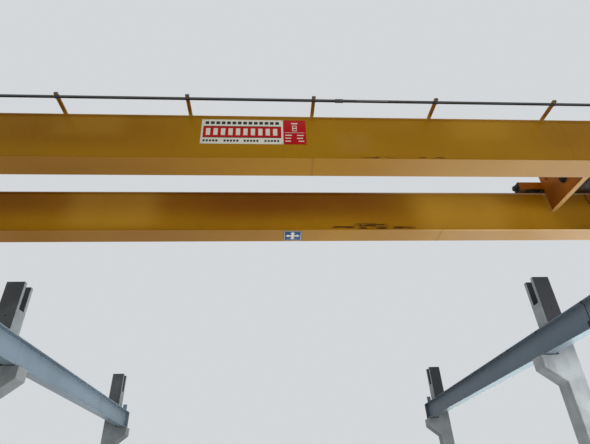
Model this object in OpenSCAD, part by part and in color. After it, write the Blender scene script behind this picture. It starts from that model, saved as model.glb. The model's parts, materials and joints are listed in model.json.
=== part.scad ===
// Double-girder overhead travelling crane on its runway, in millimetres.
// +X runs across the hall, +Y along the runway, +Z up; the origin is on the ground at the plan centre.

/* [Columns] */
// Distance between neighbouring columns along the runway
bay_length = 12000; // [9000:100:14000]
// Distance across the hall between the column axes
hall_width = 18000; // [17000:100:19000]
// Side of the square concrete columns
column_side = 600; // [500:10:700]
// Height of the fork tips above the ground
column_height = 8200; // [7900:10:9000]
// Height of the roof beam seat at the bottom of the fork
fork_seat = 7290; // [7200:10:7800]
// Width of the fork slot that takes a roof beam
fork_slot = 300; // [200:10:400]
// Height of the bearing surface on the corbels
corbel_top = 5450; // [4500:10:5500]
// How far a corbel stands out from its column
corbel_reach = 600; // [500:10:700]
// Height of the upright end face of a corbel
corbel_end = 380; // [250:10:500]
// Height of the sloping underside of a corbel
corbel_slope = 480; // [300:10:650]
// Diameter of the lifting hole through the head of a column
lift_hole_d = 70; // [30:5:120]
// Height of the lifting hole below the roof beam seat
lift_hole_drop = 260; // [150:10:500]

/* [Runway] */
// Distance from the crane rail axis to the column face
rail_to_column = 300; // [260:5:350]
// Height of the runway beams
runway_height = 790; // [600:10:800]
// Width of the runway beam flanges
runway_flange_width = 360; // [240:10:400]
// Thickness of the runway beam flanges
runway_flange_t = 24; // [12:1:40]
// Thickness of the runway beam webs
runway_web_t = 14; // [8:1:24]
// Thickness of the plates that close the two ends of the runway
runway_end_t = 15; // [8:1:30]
// Joint between two runway beams over the middle column
runway_joint = 4; // [2:1:20]
// How far the runway runs on past the axes of the end columns
runway_overhang = 250; // [200:10:300]
// Thickness of the bearing plates on the corbels
bearing_t = 20; // [10:1:40]
// Length of a bearing plate along the runway
bearing_length = 500; // [300:10:600]
// Width of a bearing plate across the runway
bearing_width = 400; // [300:10:500]
// Width of the flat ties that hold a beam to its column
tie_width = 120; // [60:10:200]
// Thickness of the flat ties
tie_t = 15; // [8:1:20]
// Width of the crane rails
rail_width = 50; // [40:1:56]
// Height of the crane rails
rail_height = 50; // [40:1:60]
// Distance from an end column axis to the face of the end stop
stop_inset = 150; // [100:10:300]
// Width of an end stop
stop_width = 200; // [140:10:260]
// Height of an end stop above the runway beam
stop_height = 330; // [300:10:400]
// Length of the foot of an end stop
stop_depth = 300; // [200:10:340]
// Thickness of the plates of the end stops
stop_plate = 20; // [10:1:30]

/* [Bridge girders] */
// Height of a girder
girder_height = 835; // [760:5:850]
// Width of the girder flanges
girder_flange_width = 400; // [360:10:440]
// Distance from the flange edge to the face of the web
web_inset = 20; // [10:1:40]
// Thickness of the top flange
top_flange_t = 14; // [8:1:20]
// Thickness of the bottom flange
bottom_flange_t = 12; // [8:1:20]
// Thickness of the girder webs
web_t = 8; // [6:1:14]
// How far the girders hang below the top of the crane rail
girder_drop = 510; // [450:10:550]
// Height of a girder where it meets the end carriage
girder_end_height = 280; // [240:10:290]
// Length of the tapered stretch at each girder end
taper_length = 2000; // [1200:100:3000]
// Thickness of the bolted plate on each girder end
end_plate_t = 20; // [12:1:30]
// How far an end plate stands past the girder, above and below
end_plate_lip = 12; // [0:1:20]
// How far an end plate stands past the girder flanges, on each side
end_plate_ear = 90; // [60:5:120]

/* [End carriages] */
// Distance at rest from the near column axis to the bridge centre
bridge_rest = 3850; // [2800:50:16000]
// Width of the end carriages
carriage_width = 250; // [220:10:280]
// Height of the end carriages
carriage_height = 300; // [280:10:340]
// Wall thickness of the end carriages
carriage_wall = 10; // [6:1:14]
// Gap between the rail and the underside of an end carriage
carriage_gap = 40; // [30:1:60]
// Distance between the two wheels of an end carriage
wheelbase = 2800; // [2700:50:3400]
// Length of an end carriage past its wheel axles
carriage_tail_length = 360; // [240:10:400]
// Tread diameter of the bridge wheels
bridge_wheel_d = 300; // [280:10:320]
// Width of the bridge wheel tread between its flanges
bridge_tread = 62; // [58:1:80]
// Thickness of a bridge wheel flange
bridge_rim = 18; // [12:1:24]
// Height of a wheel flange over the tread
rim_height = 20; // [12:1:24]
// Diameter of the bridge wheel axles
bridge_axle_d = 60; // [40:5:80]
// Diameter of the rubber buffers on the end carriages
bridge_buffer_d = 120; // [80:10:160]
// Length of the rubber buffers on the end carriages
bridge_buffer_length = 90; // [60:5:140]

/* [Bridge drive] */
// Thickness of the drive gearbox along its wheel axle
drive_box_length = 150; // [100:10:200]
// Width and height of the drive gearbox
drive_box_side = 220; // [160:10:240]
// Length of the drive motor
drive_motor_length = 340; // [200:10:400]
// Diameter of the drive motor
drive_motor_d = 180; // [120:10:200]
// Height of the gearbox middle over the wheel axle
drive_lift = 20; // [10:1:40]
// Gap between the gearbox and the end plate of the far girder
drive_gap = 25; // [10:5:60]

/* [Festoon line] */
// Number of arms on each side of the middle arm
arm_pairs = 4; // [1:1:4]
// Distance between neighbouring arms
arm_spacing = 1840; // [1000:10:1850]
// How far an arm stands out past the girder flange
arm_reach_length = 375; // [360:5:500]
// Length of an arm that lies on the girder flange
arm_seat_length = 90; // [60:5:120]
// Width of an arm
arm_width = 50; // [30:5:80]
// Height of an arm
arm_height = 30; // [20:5:50]
// Distance from the flange edge to the axis of the track
track_out = 340; // [250:10:350]
// Width and height of the track section
track_side = 30; // [24:2:40]
// Wall of the track section
track_wall = 3; // [2:0.5:5]
// Width of the slot along the underside of the track
track_slot = 12; // [8:1:16]
// Length of the track past the last arm
track_tail_length = 350; // [100:10:500]

/* [Plates] */
// Thickness of the sign plates
plate_t = 4; // [2:1:8]
// Length of the white name board
board_length = 1220; // [600:10:1600]
// Height of the white and red boards
board_height = 490; // [300:5:560]
// Height of the middle of the boards over the girder underside
board_middle = 528; // [300:1:540]
// Place of the joint between the white and red boards
board_joint_x = -445; // [-2000:5:2000]
// Length of the red capacity board
capacity_length = 340; // [200:10:600]
// Side of the square direction plate
direction_side = 330; // [200:10:380]
// Place of the direction plate along the girder
direction_x = -223; // [-3000:1:3000]

/* [Control cabinet] */
// Length of the cabinet on the far girder
cabinet_length = 800; // [400:50:1200]
// Height of the cabinet
cabinet_height = 560; // [300:10:600]
// Depth of the cabinet
cabinet_depth = 250; // [150:10:400]
// Place of the middle of the cabinet along the girder
cabinet_x = 5250; // [4000:50:5500]
// Height of the cabinet over the girder underside
cabinet_lift = 160; // [120:10:180]

/* [Trolley] */
// Distance at rest from the right rail to the trolley centre
trolley_rest = 2970; // [2300:10:14000]
// Width of the trolley rails
trolley_rail_width = 50; // [40:1:54]
// Height of the trolley rails
trolley_rail_height = 40; // [30:1:50]
// Distance between the two axles of the trolley
trolley_wheelbase = 1700; // [1600:50:2000]
// Length of a side frame past its axles
side_tail_length = 290; // [200:5:400]
// Width of the trolley side frames
side_width = 180; // [160:10:240]
// Height of the trolley side frames
side_height = 180; // [170:5:240]
// Wall thickness of the side frames
side_wall = 10; // [6:1:14]
// Gap between the trolley rail and the side frame
side_gap = 35; // [30:5:50]
// Tread diameter of the trolley wheels
trolley_wheel_d = 170; // [160:5:180]
// Width of the trolley wheel tread between its flanges
trolley_tread = 60; // [57:1:80]
// Thickness of a trolley wheel flange
trolley_rim = 15; // [10:1:20]
// Diameter of the trolley wheel axles
trolley_axle_d = 50; // [30:5:60]
// Diameter of the rubber buffers on the trolley
trolley_buffer_d = 110; // [60:5:120]
// Length of the rubber buffers on the trolley
trolley_buffer_length = 70; // [60:5:120]
// Distance from the trolley stop to the end of the girder
trolley_stop_inset = 575; // [500:5:800]
// Width of a trolley stop
trolley_stop_width = 120; // [80:10:160]
// Height of a trolley stop over the girder
trolley_stop_height = 310; // [280:10:360]
// Length of the foot of a trolley stop
trolley_stop_depth = 160; // [100:10:200]

/* [Cross frames] */
// Distance between the two deep cross frames
cross_spacing = 1300; // [1200:10:1400]
// Thickness of the cross frame web
cross_web_t = 15; // [10:1:25]
// Width of the cross frame flanges
cross_flange_width = 95; // [60:5:140]
// Thickness of the cross frame flanges
cross_flange_t = 12; // [8:1:20]
// Gap between the girder flanges and the trolley frame that hangs between them
cross_clearance = 25; // [15:1:40]
// How far the cross frames hang below the girder top
cross_drop = 450; // [400:5:480]
// How far the cross frames rise over the girder top
cross_rise = 425; // [400:5:520]

/* [Hoist] */
// Diameter of the rope drum
drum_d = 420; // [360:10:440]
// Diameter of the drum end flanges
drum_rim_d = 480; // [450:10:500]
// Thickness of the drum end flanges
drum_rim_t = 20; // [10:1:30]
// Distance from the drum end flange to the cross frame
drum_end_gap = 60; // [40:5:90]
// Diameter of the drum shaft
drum_shaft_d = 90; // [60:5:110]
// Height of the drum axis under the girder top
drum_under = 105; // [60:5:120]
// Distance of the drum axis from the bridge centre
drum_offset = 160; // [100:5:180]
// Outer diameter of the drum bearing housing
bearing_ring_d = 180; // [160:10:260]
// Thickness of the drum bearing housing
bearing_ring_t = 70; // [40:5:90]
// Length of the hoist gearbox
gearbox_length = 300; // [200:10:340]
// Width of the hoist gearbox
gearbox_width = 460; // [380:10:520]
// Height of the hoist gearbox
gearbox_height = 470; // [400:10:480]
// Radius of the rounded gearbox edges
gearbox_round = 40; // [10:5:80]
// Height of the gearbox underside over the cross frame underside
gearbox_lift = 60; // [20:5:80]
// Length of the hoist motor body
motor_length = 460; // [300:10:500]
// Diameter of the hoist motor body
motor_d = 260; // [200:10:300]
// Length of the brake housing behind the motor
brake_length = 110; // [60:10:150]
// Diameter of the brake housing
brake_d = 220; // [160:10:240]
// Side of the rope anchor beam
anchor_side = 100; // [80:5:120]
// Diameter of the rope
rope_d = 13; // [10:1:16]
// Distance between the two ropes along the drum
rope_spacing = 300; // [260:10:340]
// Pitch diameter of the sheaves in the hook block
sheave_d = 300; // [260:10:340]
// Height of the sheave axis under the girder underside
block_drop = 350; // [250:10:900]
// Width of a sheave
sheave_width = 44; // [36:2:60]
// Gap between the sheaves and the crosshead under them
crosshead_gap = 15; // [5:1:40]
// Thickness of the cheek plates of the hook block
cheek_t = 12; // [8:1:20]
// Diameter of the rounded head of the cheek plates
cheek_head_d = 240; // [180:10:300]
// Diameter of the sheave axle
block_axle_d = 50; // [30:5:70]
// Height of the crosshead that carries the hook
crosshead_height = 110; // [80:5:140]
// Centre-line radius of the hook bowl
hook_bowl = 95; // [80:5:120]
// Thickness of the hook
hook_t = 62; // [40:2:70]
// Length of the hook shank over the bowl
hook_shank = 120; // [100:5:160]
// Thickness of the hook at its tip
hook_tip_t = 30; // [20:2:40]
// Height of the hook tip over the bowl centre
hook_tip_rise = 75; // [50:5:90]
// How far the hook tip leans out past the bowl
hook_tip_lean = 18; // [5:1:30]

/* [Trolley drive] */
// Thickness of the trolley gearbox along the shaft
travel_box_length = 120; // [80:10:160]
// Width and height of the trolley gearbox
travel_box_side = 170; // [130:10:180]
// Length of the trolley motor
travel_motor_length = 260; // [150:10:300]
// Diameter of the trolley motor
travel_motor_d = 140; // [100:10:150]
// Height of the trolley motor over the cross shaft
travel_lift = 130; // [110:5:160]
// Diameter of the cross shaft
cross_shaft_d = 40; // [25:5:40]

/* [Hidden] */

$fn = 48;
rows = [-1, 0, 1];          // column rows, from the near end of the runway
left = -1;
right = 1;
near = -1;
far = 1;
contact = 0.3;              // running gap between a wheel and its rail, or an axle and its bore
slot_gap = 20;              // room between a wheel flange and the end of its slot
cut = 1;                    // how far a cutting shape stands past the face it cuts

// Heights, from the corbels up
column_face = hall_width / 2 - column_side / 2;
runway_x = column_face - rail_to_column;
runway_bottom = corbel_top + bearing_t;
runway_top = runway_bottom + runway_height;
runway_half = bay_length + runway_overhang;
rail_top = runway_top + rail_height;
stop_face = bay_length - stop_inset;

// Bridge
bridge_y = bridge_rest - bay_length;
girder_room = girder_flange_width / 2 + end_plate_ear + drive_gap + drive_box_side / 2;
girder_spacing = wheelbase - 2 * girder_room;
girder_bottom = rail_top - girder_drop;
girder_top = girder_bottom + girder_height;
girder_end_bottom = girder_top - girder_end_height;
girder_half = runway_x - carriage_width / 2;
taper_x = girder_half - taper_length;
web_face = girder_flange_width / 2 - web_inset;
carriage_bottom = rail_top + carriage_gap;
carriage_top = carriage_bottom + carriage_height;
carriage_half = wheelbase / 2 + carriage_tail_length;
bridge_axle_z = rail_top + contact + bridge_wheel_d / 2;
wheel_slot = bridge_wheel_d + 2 * rim_height + 2 * slot_gap;
gap_half = girder_spacing / 2 - girder_flange_width / 2;

// Trolley
trolley_x = runway_x - trolley_rest;
trolley_rail_top = girder_top + trolley_rail_height;
trolley_axle_z = trolley_rail_top + contact + trolley_wheel_d / 2;
side_bottom = trolley_rail_top + side_gap;
side_top = side_bottom + side_height;
side_half = trolley_wheelbase / 2 + side_tail_length;
side_slot = trolley_wheel_d + 2 * rim_height + 2 * slot_gap;
trolley_stop_x = girder_half - trolley_stop_inset;
cross_bottom = girder_top - cross_drop;
cross_top = girder_top + cross_rise;
cross_half = gap_half - cross_clearance;
trolley_half = cross_half + side_width / 2;     // from the trolley's middle to each of its rails
cross_x = cross_spacing / 2;
cross_face = cross_x + cross_web_t / 2;

// Hoist
drum_y = drum_offset;
drum_z = girder_top - drum_under;
drum_half = cross_x - cross_web_t / 2 - drum_end_gap;
rope_y = drum_y - drum_d / 2 - rope_d / 2 - contact;
block_y = rope_y - sheave_d / 2;
block_z = girder_bottom - block_drop;
anchor_y = block_y - sheave_d / 2;
anchor_z = drum_z - drum_d / 4;
gearbox_bottom = cross_bottom + gearbox_lift;
motor_z = gearbox_bottom + gearbox_height / 2;
sheave_core = sheave_d - rope_d - 2 * contact;
sheave_rim = sheave_core + 4 * rope_d;
sheave_rim_t = sheave_width / 2 - rope_d * 0.75;
crosshead_z = block_z - sheave_rim / 2 - crosshead_gap - crosshead_height;
cheek_x = rope_spacing / 2 + sheave_width / 2 + cheek_t / 2 + contact;
hook_z = crosshead_z - hook_shank - hook_bowl;
hook_open = 10;             // angle of the hook's end over its bowl centre, at the open side
hook_neck = 75;             // angle at which the bowl runs into the shank

function around(width) = [-width / 2, width / 2];
function span(a, b) = [min(a, b), max(a, b)];
function i_section(w, h, flange, web) = [
    [-w / 2, 0], [w / 2, 0], [w / 2, flange], [web / 2, flange],
    [web / 2, h - flange], [w / 2, h - flange], [w / 2, h], [-w / 2, h],
    [-w / 2, h - flange], [-web / 2, h - flange], [-web / 2, flange], [-w / 2, flange],
];

module block(x, y, z)
    translate([x[0], y[0], z[0]]) cube([x[1] - x[0], y[1] - y[0], z[1] - z[0]]);
module along_x(length) rotate([90, 0, 90]) translate([0, 0, -length / 2]) linear_extrude(length) children();
module along_y(length) rotate([90, 0, 0]) translate([0, 0, -length / 2]) linear_extrude(length) children();
module rod_x(length, d) along_x(length) circle(d = d);
module rod_y(length, d) along_y(length) circle(d = d);
module on_bridge() translate([0, bridge_y, 0]) children();
module on_trolley() translate([trolley_x, bridge_y, 0]) children();

// A forked column with its corbel towards the middle of the hall
module column(side, row)
    color("darkgray") translate([side * hall_width / 2, row * bay_length, 0]) difference() {
        half = column_side / 2;
        outline = [
            [half, 0], [half, column_height], [-half, column_height], [-half, corbel_top],
            [-half - corbel_reach, corbel_top], [-half - corbel_reach, corbel_top - corbel_end],
            [-half, corbel_top - corbel_end - corbel_slope], [-half, 0],
        ];
        along_y(column_side) polygon([for (p = outline) [side * p[0], p[1]]]);
        block([-half - cut, half + cut], around(fork_slot), [fork_seat, column_height + cut]);
        translate([0, 0, fork_seat - lift_hole_drop]) rod_y(column_side + 2 * cut, lift_hole_d);
    }

// One bay of the runway, closed by a plate at its outer end
module runway_beam(side, bay)
    color("lightsteelblue") {
        length = runway_half - runway_joint / 2;
        middle = bay * (runway_joint / 2 + length / 2);
        translate([side * runway_x, middle, runway_bottom]) {
            along_y(length)
                polygon(i_section(runway_flange_width, runway_height, runway_flange_t, runway_web_t));
            translate([0, bay * (length - runway_end_t) / 2, 0])
                block(around(runway_flange_width), around(runway_end_t), [0, runway_height]);
        }
    }

module bearing_plates()
    color("slategray") for (side = [left, right], row = rows)
        translate([side * runway_x, row * bay_length, corbel_top])
            block(around(bearing_width), around(bearing_length),
                [0, bearing_t]);

// Flat ties from the upper flange of the runway to the face of each column
module runway_ties()
    color("slategray") for (side = [left, right], row = rows)
        translate([0, row * bay_length, runway_top - tie_t])
            block(span(side * (runway_x + runway_flange_width / 2), side * column_face),
                around(tie_width), [0, tie_t]);

module rail(side)
    color("dimgray") translate([side * runway_x, 0, runway_top])
        block(around(rail_width), [-stop_face, stop_face], [0, rail_height]);

// An upright plate on a foot with one gusset behind it, its face towards -X at the origin
module stop_bracket(width, height, depth)
    union() {
        block([0, stop_plate], around(width), [0, height]);
        block([0, depth], around(width), [0, stop_plate]);
        along_y(stop_plate) polygon([[0, 0], [depth, 0], [depth, stop_plate], [stop_plate, height]]);
    }

module end_stops()
    color("steelblue") for (side = [left, right], end = [-1, 1])
        translate([side * runway_x, end * stop_face, runway_top]) rotate([0, 0, end * 90])
            stop_bracket(stop_width, stop_height, stop_depth);

// A welded box girder whose underside rises to the end carriages
module girder(side)
    color("goldenrod") on_bridge() translate([0, side * girder_spacing / 2, 0]) {
        under = [
            [-girder_half, girder_end_bottom], [-taper_x, girder_bottom],
            [taper_x, girder_bottom], [girder_half, girder_end_bottom],
        ];
        over = [[girder_half, girder_top], [-girder_half, girder_top]];
        lip = [for (i = [3:-1:0]) [under[i][0], under[i][1] + bottom_flange_t]];
        along_y(girder_flange_width) polygon(concat(under, lip));
        for (face = [-1, 1])
            translate([0, face * (web_face - web_t / 2), 0]) along_y(web_t) polygon(concat(under, over));
        block([-girder_half, girder_half], around(girder_flange_width),
            [girder_top - top_flange_t, girder_top]);
        for (end = [-1, 1])
            block(span(end * (girder_half - end_plate_t), end * girder_half),
                [-girder_flange_width / 2 - end_plate_ear, girder_flange_width / 2 + end_plate_ear],
                [girder_end_bottom - end_plate_lip, girder_top + end_plate_lip]);
    }

module trolley_rail(side)
    color("dimgray") on_bridge() translate([0, side * trolley_half, girder_top])
        block([-trolley_stop_x, trolley_stop_x], around(trolley_rail_width),
            [0, trolley_rail_height]);

module trolley_stops()
    color("goldenrod") on_bridge() for (side = [near, far], end = [0, 1])
        translate([(end ? -1 : 1) * trolley_stop_x, side * trolley_half, girder_top])
            rotate([0, 0, 180 * end])
                stop_bracket(trolley_stop_width, trolley_stop_height, trolley_stop_depth);

// A box beam along Y that carries two wheels in slots in its underside
module end_carriage(side)
    color("goldenrod") on_bridge() translate([side * runway_x, 0, 0]) difference() {
        inner = carriage_width / 2 - carriage_wall;
        block(around(carriage_width), [-carriage_half, carriage_half],
            [carriage_bottom, carriage_top]);
        block([-inner, inner], [carriage_wall - carriage_half, carriage_half - carriage_wall],
            [carriage_bottom + carriage_wall, carriage_top - carriage_wall]);
        for (end = [-1, 1]) translate([0, end * wheelbase / 2, 0]) {
            block([-inner, inner], around(wheel_slot),
                [carriage_bottom - cut, carriage_bottom + carriage_wall + cut]);
            translate([0, 0, bridge_axle_z]) rod_x(carriage_width + 2 * cut, bridge_axle_d + 2 * contact);
        }
    }

// A double-flanged wheel on an axle along X
module wheel(tread_d, tread, rim, axle_d, axle_length, hub_length)
    union() {
        rod_x(tread + 2 * rim, tread_d);
        for (edge = [-1, 1])
            translate([edge * (tread + rim) / 2, 0, 0]) rod_x(rim, tread_d + 2 * rim_height);
        rod_x(hub_length, axle_d * 2);
        rod_x(axle_length, axle_d);
    }

module bridge_wheels(side)
    color("gray") on_bridge() for (end = [-1, 1])
        translate([side * runway_x, end * wheelbase / 2, bridge_axle_z])
            wheel(bridge_wheel_d, bridge_tread, bridge_rim, bridge_axle_d, carriage_width,
                carriage_width - 2 * carriage_wall - 2 * contact);

// A geared motor on the inner side of the far wheel
module bridge_drive(side)
    color("steelblue") on_bridge() translate([side * girder_half, wheelbase / 2, bridge_axle_z]) {
        block(span(0, -side * drive_box_length), around(drive_box_side),
            [drive_lift - drive_box_side / 2, drive_lift + drive_box_side / 2]);
        translate([-side * (drive_box_length + drive_motor_length / 2), 0, drive_lift])
            rod_x(drive_motor_length, drive_motor_d);
    }

module bridge_buffers()
    color("black") on_bridge() for (side = [left, right], end = [-1, 1])
        translate([side * runway_x, end * (carriage_half + bridge_buffer_length / 2),
            (carriage_bottom + carriage_top) / 2])
            rod_y(bridge_buffer_length, bridge_buffer_d);

module festoon_arms()
    color("goldenrod") on_bridge() for (i = [-arm_pairs:arm_pairs])
        translate([i * arm_spacing, -girder_spacing / 2 - girder_flange_width / 2, girder_top])
            block(around(arm_width), [-arm_reach_length, arm_seat_length], [0, arm_height]);

// A C-shaped rail under the arms, open along its underside
module festoon_track()
    color("dimgray") on_bridge()
        translate([0, -girder_spacing / 2 - girder_flange_width / 2 - track_out, girder_top - track_side])
            along_x(2 * (arm_pairs * arm_spacing + track_tail_length)) difference() {
                translate([-track_side / 2, 0]) square([track_side, track_side]);
                translate([track_wall - track_side / 2, track_wall])
                    square([track_side - 2 * track_wall, track_side - 2 * track_wall]);
                translate([-track_slot / 2, -cut]) square([track_slot, track_wall + 2 * cut]);
            }

module web_board(x)
    on_bridge() translate([0, -girder_spacing / 2 - web_face, girder_bottom + board_middle])
        block(x, [-plate_t, 0], around(board_height));

module name_board()
    color("white") web_board([board_joint_x - board_length, board_joint_x]);

module capacity_board()
    color("firebrick") web_board([board_joint_x, board_joint_x + capacity_length]);

module direction_plate()
    color("royalblue") on_bridge() translate([direction_x, girder_spacing / 2, girder_bottom - plate_t])
        block(around(direction_side), around(direction_side),
            [0, plate_t]);

module control_cabinet()
    color("lightgray") on_bridge()
        translate([cabinet_x, girder_spacing / 2 + web_face, girder_bottom + cabinet_lift])
            block(around(cabinet_length), [0, cabinet_depth], [0, cabinet_height]);

// A box frame along X that carries two trolley wheels
module trolley_side(side)
    color("orange") on_trolley() translate([0, side * trolley_half, 0]) difference() {
        inner = side_width / 2 - side_wall;
        block([-side_half, side_half], around(side_width), [side_bottom, side_top]);
        block([side_wall - side_half, side_half - side_wall], [-inner, inner],
            [side_bottom + side_wall, side_top - side_wall]);
        for (end = [-1, 1]) translate([end * trolley_wheelbase / 2, 0, 0]) {
            block(around(side_slot), [-inner, inner],
                [side_bottom - cut, side_bottom + side_wall + cut]);
            translate([0, 0, trolley_axle_z]) rod_y(side_width + 2 * cut, trolley_axle_d + 2 * contact);
        }
    }

// A deep plate between the two side frames, with a narrow flange above and below
module trolley_cross(side)
    color("orange") on_trolley() translate([side * cross_x, 0, 0]) difference() {
        translate([0, 0, cross_bottom]) along_y(2 * cross_half)
            polygon(i_section(cross_flange_width, cross_top - cross_bottom, cross_flange_t, cross_web_t));
        translate([0, drum_y, drum_z]) rod_x(cross_flange_width, drum_shaft_d + 2 * contact);
    }

module trolley_wheels()
    color("gray") on_trolley() for (side = [near, far], end = [-1, 1])
        translate([end * trolley_wheelbase / 2, side * trolley_half, trolley_axle_z])
            rotate([0, 0, 90])
                wheel(trolley_wheel_d, trolley_tread, trolley_rim, trolley_axle_d, side_width,
                    side_width - 2 * side_wall - 2 * contact);

module trolley_buffers()
    color("black") on_trolley() for (side = [near, far], end = [-1, 1])
        translate([end * (side_half + trolley_buffer_length / 2), side * trolley_half,
            (side_bottom + side_top) / 2])
            rod_x(trolley_buffer_length, trolley_buffer_d);

// A geared motor on the inner face of the far side frame, over the shaft that turns both right wheels
module trolley_drive()
    color("steelblue") on_trolley() translate([trolley_wheelbase / 2, 0, trolley_axle_z]) {
        block(around(travel_box_side), [cross_half - travel_box_length, cross_half],
            [-travel_box_side / 2, travel_lift + travel_box_side / 2]);
        translate([0, cross_half - travel_box_length - travel_motor_length / 2, travel_lift])
            rod_y(travel_motor_length, travel_motor_d);
        rod_y(2 * cross_half, cross_shaft_d);
    }

module hoist_drum()
    color("dimgray") on_trolley() translate([0, drum_y, drum_z]) {
        rod_x(2 * drum_half, drum_d);
        for (end = [-1, 1])
            translate([end * (drum_half - drum_rim_t / 2), 0, 0]) rod_x(drum_rim_t, drum_rim_d);
        translate([-bearing_ring_t / 2, 0, 0]) rod_x(2 * cross_face + bearing_ring_t, drum_shaft_d);
    }

module drum_bearing()
    color("steelblue") on_trolley() translate([-cross_face - bearing_ring_t / 2, drum_y, drum_z])
        difference() {
            rod_x(bearing_ring_t, bearing_ring_d);
            rod_x(bearing_ring_t + 2 * cut, drum_shaft_d + 2 * contact);
        }

module hoist_gearbox()
    color("steelblue") on_trolley() translate([cross_face + gearbox_length / 2, drum_y, gearbox_bottom])
        along_x(gearbox_length) translate([0, gearbox_height / 2]) offset(r = gearbox_round)
            square([gearbox_width - 2 * gearbox_round, gearbox_height - 2 * gearbox_round], center = true);

module hoist_motor()
    color("steelblue") on_trolley() translate([cross_face + gearbox_length, drum_y, motor_z]) {
        translate([motor_length / 2, 0, 0]) rod_x(motor_length, motor_d);
        translate([motor_length + brake_length / 2, 0, 0]) rod_x(brake_length, brake_d);
    }

module rope_anchor()
    color("orange") on_trolley() translate([0, anchor_y, anchor_z])
        block([cross_web_t / 2 - cross_x, cross_x - cross_web_t / 2], around(anchor_side),
            [0, anchor_side]);

// Two ropes, each from the drum, round its sheave and up to the anchor beam
module hoist_ropes()
    color("silver") on_trolley() for (side = [left, right])
        translate([side * rope_spacing / 2, 0, 0]) {
            translate([0, rope_y, block_z]) cylinder(h = drum_z - block_z, d = rope_d);
            translate([0, anchor_y, block_z]) cylinder(h = anchor_z - block_z, d = rope_d);
            translate([0, block_y, block_z]) rotate([90, 0, 90]) rotate([0, 0, 180])
                rotate_extrude(angle = 180) translate([sheave_d / 2, 0]) circle(d = rope_d);
        }

// Two sheaves on one axle between cheek plates, with the crosshead of the hook below
module hook_block()
    color("goldenrod") on_trolley() translate([0, block_y, 0]) {
        translate([0, 0, block_z]) {
            rod_x(2 * cheek_x + cheek_t, block_axle_d);
            for (side = [left, right]) translate([side * rope_spacing / 2, 0, 0]) {
                rod_x(sheave_width, sheave_core);
                for (edge = [-1, 1])
                    translate([edge * (sheave_width - sheave_rim_t) / 2, 0, 0])
                        rod_x(sheave_rim_t, sheave_rim);
            }
        }
        for (x = [-cheek_x, cheek_x]) translate([x, 0, 0])
            along_x(cheek_t) hull() {
                translate([0, block_z]) circle(d = cheek_head_d);
                translate([-crosshead_height / 2, crosshead_z]) square(crosshead_height);
            }
        block([-cheek_x, cheek_x], around(crosshead_height),
            [crosshead_z, crosshead_z + crosshead_height]);
    }

// A forged single hook, its bowl in the plane of X and Z
module hook()
    color("firebrick") on_trolley() translate([0, block_y, hook_z]) {
        translate([0, 0, hook_bowl]) cylinder(h = hook_shank, d = hook_t);
        rotate([90, 0, 0]) rotate([0, 0, -180 - hook_open])
            rotate_extrude(angle = 180 + hook_open + hook_neck) translate([hook_bowl, 0]) circle(d = hook_t);
        hull() {
            translate([-hook_bowl * cos(hook_open), 0, hook_bowl * sin(hook_open)])
                sphere(d = hook_t, $fn = 20);
            translate([-hook_bowl - hook_tip_lean, 0, hook_tip_rise]) sphere(d = hook_tip_t, $fn = 20);
        }
    }

column(left, rows[0]);  // column_left_1
column(left, rows[1]);  // column_left_2
column(left, rows[2]);  // column_left_3
column(right, rows[0]);  // column_right_1
column(right, rows[1]);  // column_right_2
column(right, rows[2]);  // column_right_3
runway_beam(left, -1);  // runway_beam_left_1
runway_beam(left, 1);  // runway_beam_left_2
runway_beam(right, -1);  // runway_beam_right_1
runway_beam(right, 1);  // runway_beam_right_2
bearing_plates();
runway_ties();
rail(left);  // rail_left
rail(right);  // rail_right
end_stops();
girder(near);  // girder_near
girder(far);  // girder_far
trolley_rail(near);  // trolley_rail_near
trolley_rail(far);  // trolley_rail_far
trolley_stops();
end_carriage(left);  // end_carriage_left
end_carriage(right);  // end_carriage_right
bridge_wheels(left);  // bridge_wheels_left
bridge_wheels(right);  // bridge_wheels_right
bridge_drive(left);  // bridge_drive_left
bridge_drive(right);  // bridge_drive_right
bridge_buffers();
festoon_arms();
festoon_track();
name_board();
capacity_board();
direction_plate();
control_cabinet();
trolley_side(near);  // trolley_side_near
trolley_side(far);  // trolley_side_far
trolley_cross(left);  // trolley_cross_left
trolley_cross(right);  // trolley_cross_right
trolley_wheels();
trolley_buffers();
trolley_drive();
hoist_drum();
drum_bearing();
hoist_gearbox();
hoist_motor();
rope_anchor();
hoist_ropes();
hook_block();
hook();
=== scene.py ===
import json
import math
from itertools import product

import bmesh
import bpy
from mathutils import Matrix, Vector


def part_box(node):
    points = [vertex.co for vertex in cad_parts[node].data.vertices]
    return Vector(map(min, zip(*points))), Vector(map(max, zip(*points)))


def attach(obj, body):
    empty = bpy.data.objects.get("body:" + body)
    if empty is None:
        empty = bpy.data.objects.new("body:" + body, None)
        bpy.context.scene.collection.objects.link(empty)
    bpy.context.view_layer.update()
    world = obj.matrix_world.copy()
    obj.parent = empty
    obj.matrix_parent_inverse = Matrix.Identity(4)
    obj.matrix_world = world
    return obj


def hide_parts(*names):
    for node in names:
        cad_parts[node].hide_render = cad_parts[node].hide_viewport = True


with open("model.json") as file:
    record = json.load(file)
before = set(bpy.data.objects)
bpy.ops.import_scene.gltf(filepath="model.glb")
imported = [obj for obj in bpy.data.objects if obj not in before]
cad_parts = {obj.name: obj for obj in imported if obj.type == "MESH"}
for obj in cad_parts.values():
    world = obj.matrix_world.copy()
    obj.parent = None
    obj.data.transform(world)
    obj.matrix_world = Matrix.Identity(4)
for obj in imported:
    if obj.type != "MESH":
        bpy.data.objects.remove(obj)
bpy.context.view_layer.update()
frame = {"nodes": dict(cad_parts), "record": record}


# The middle of a CAD node's box
def middleOf(node):
    return [(low + high) / 2 for low, high in zip(*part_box(node))]


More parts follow.
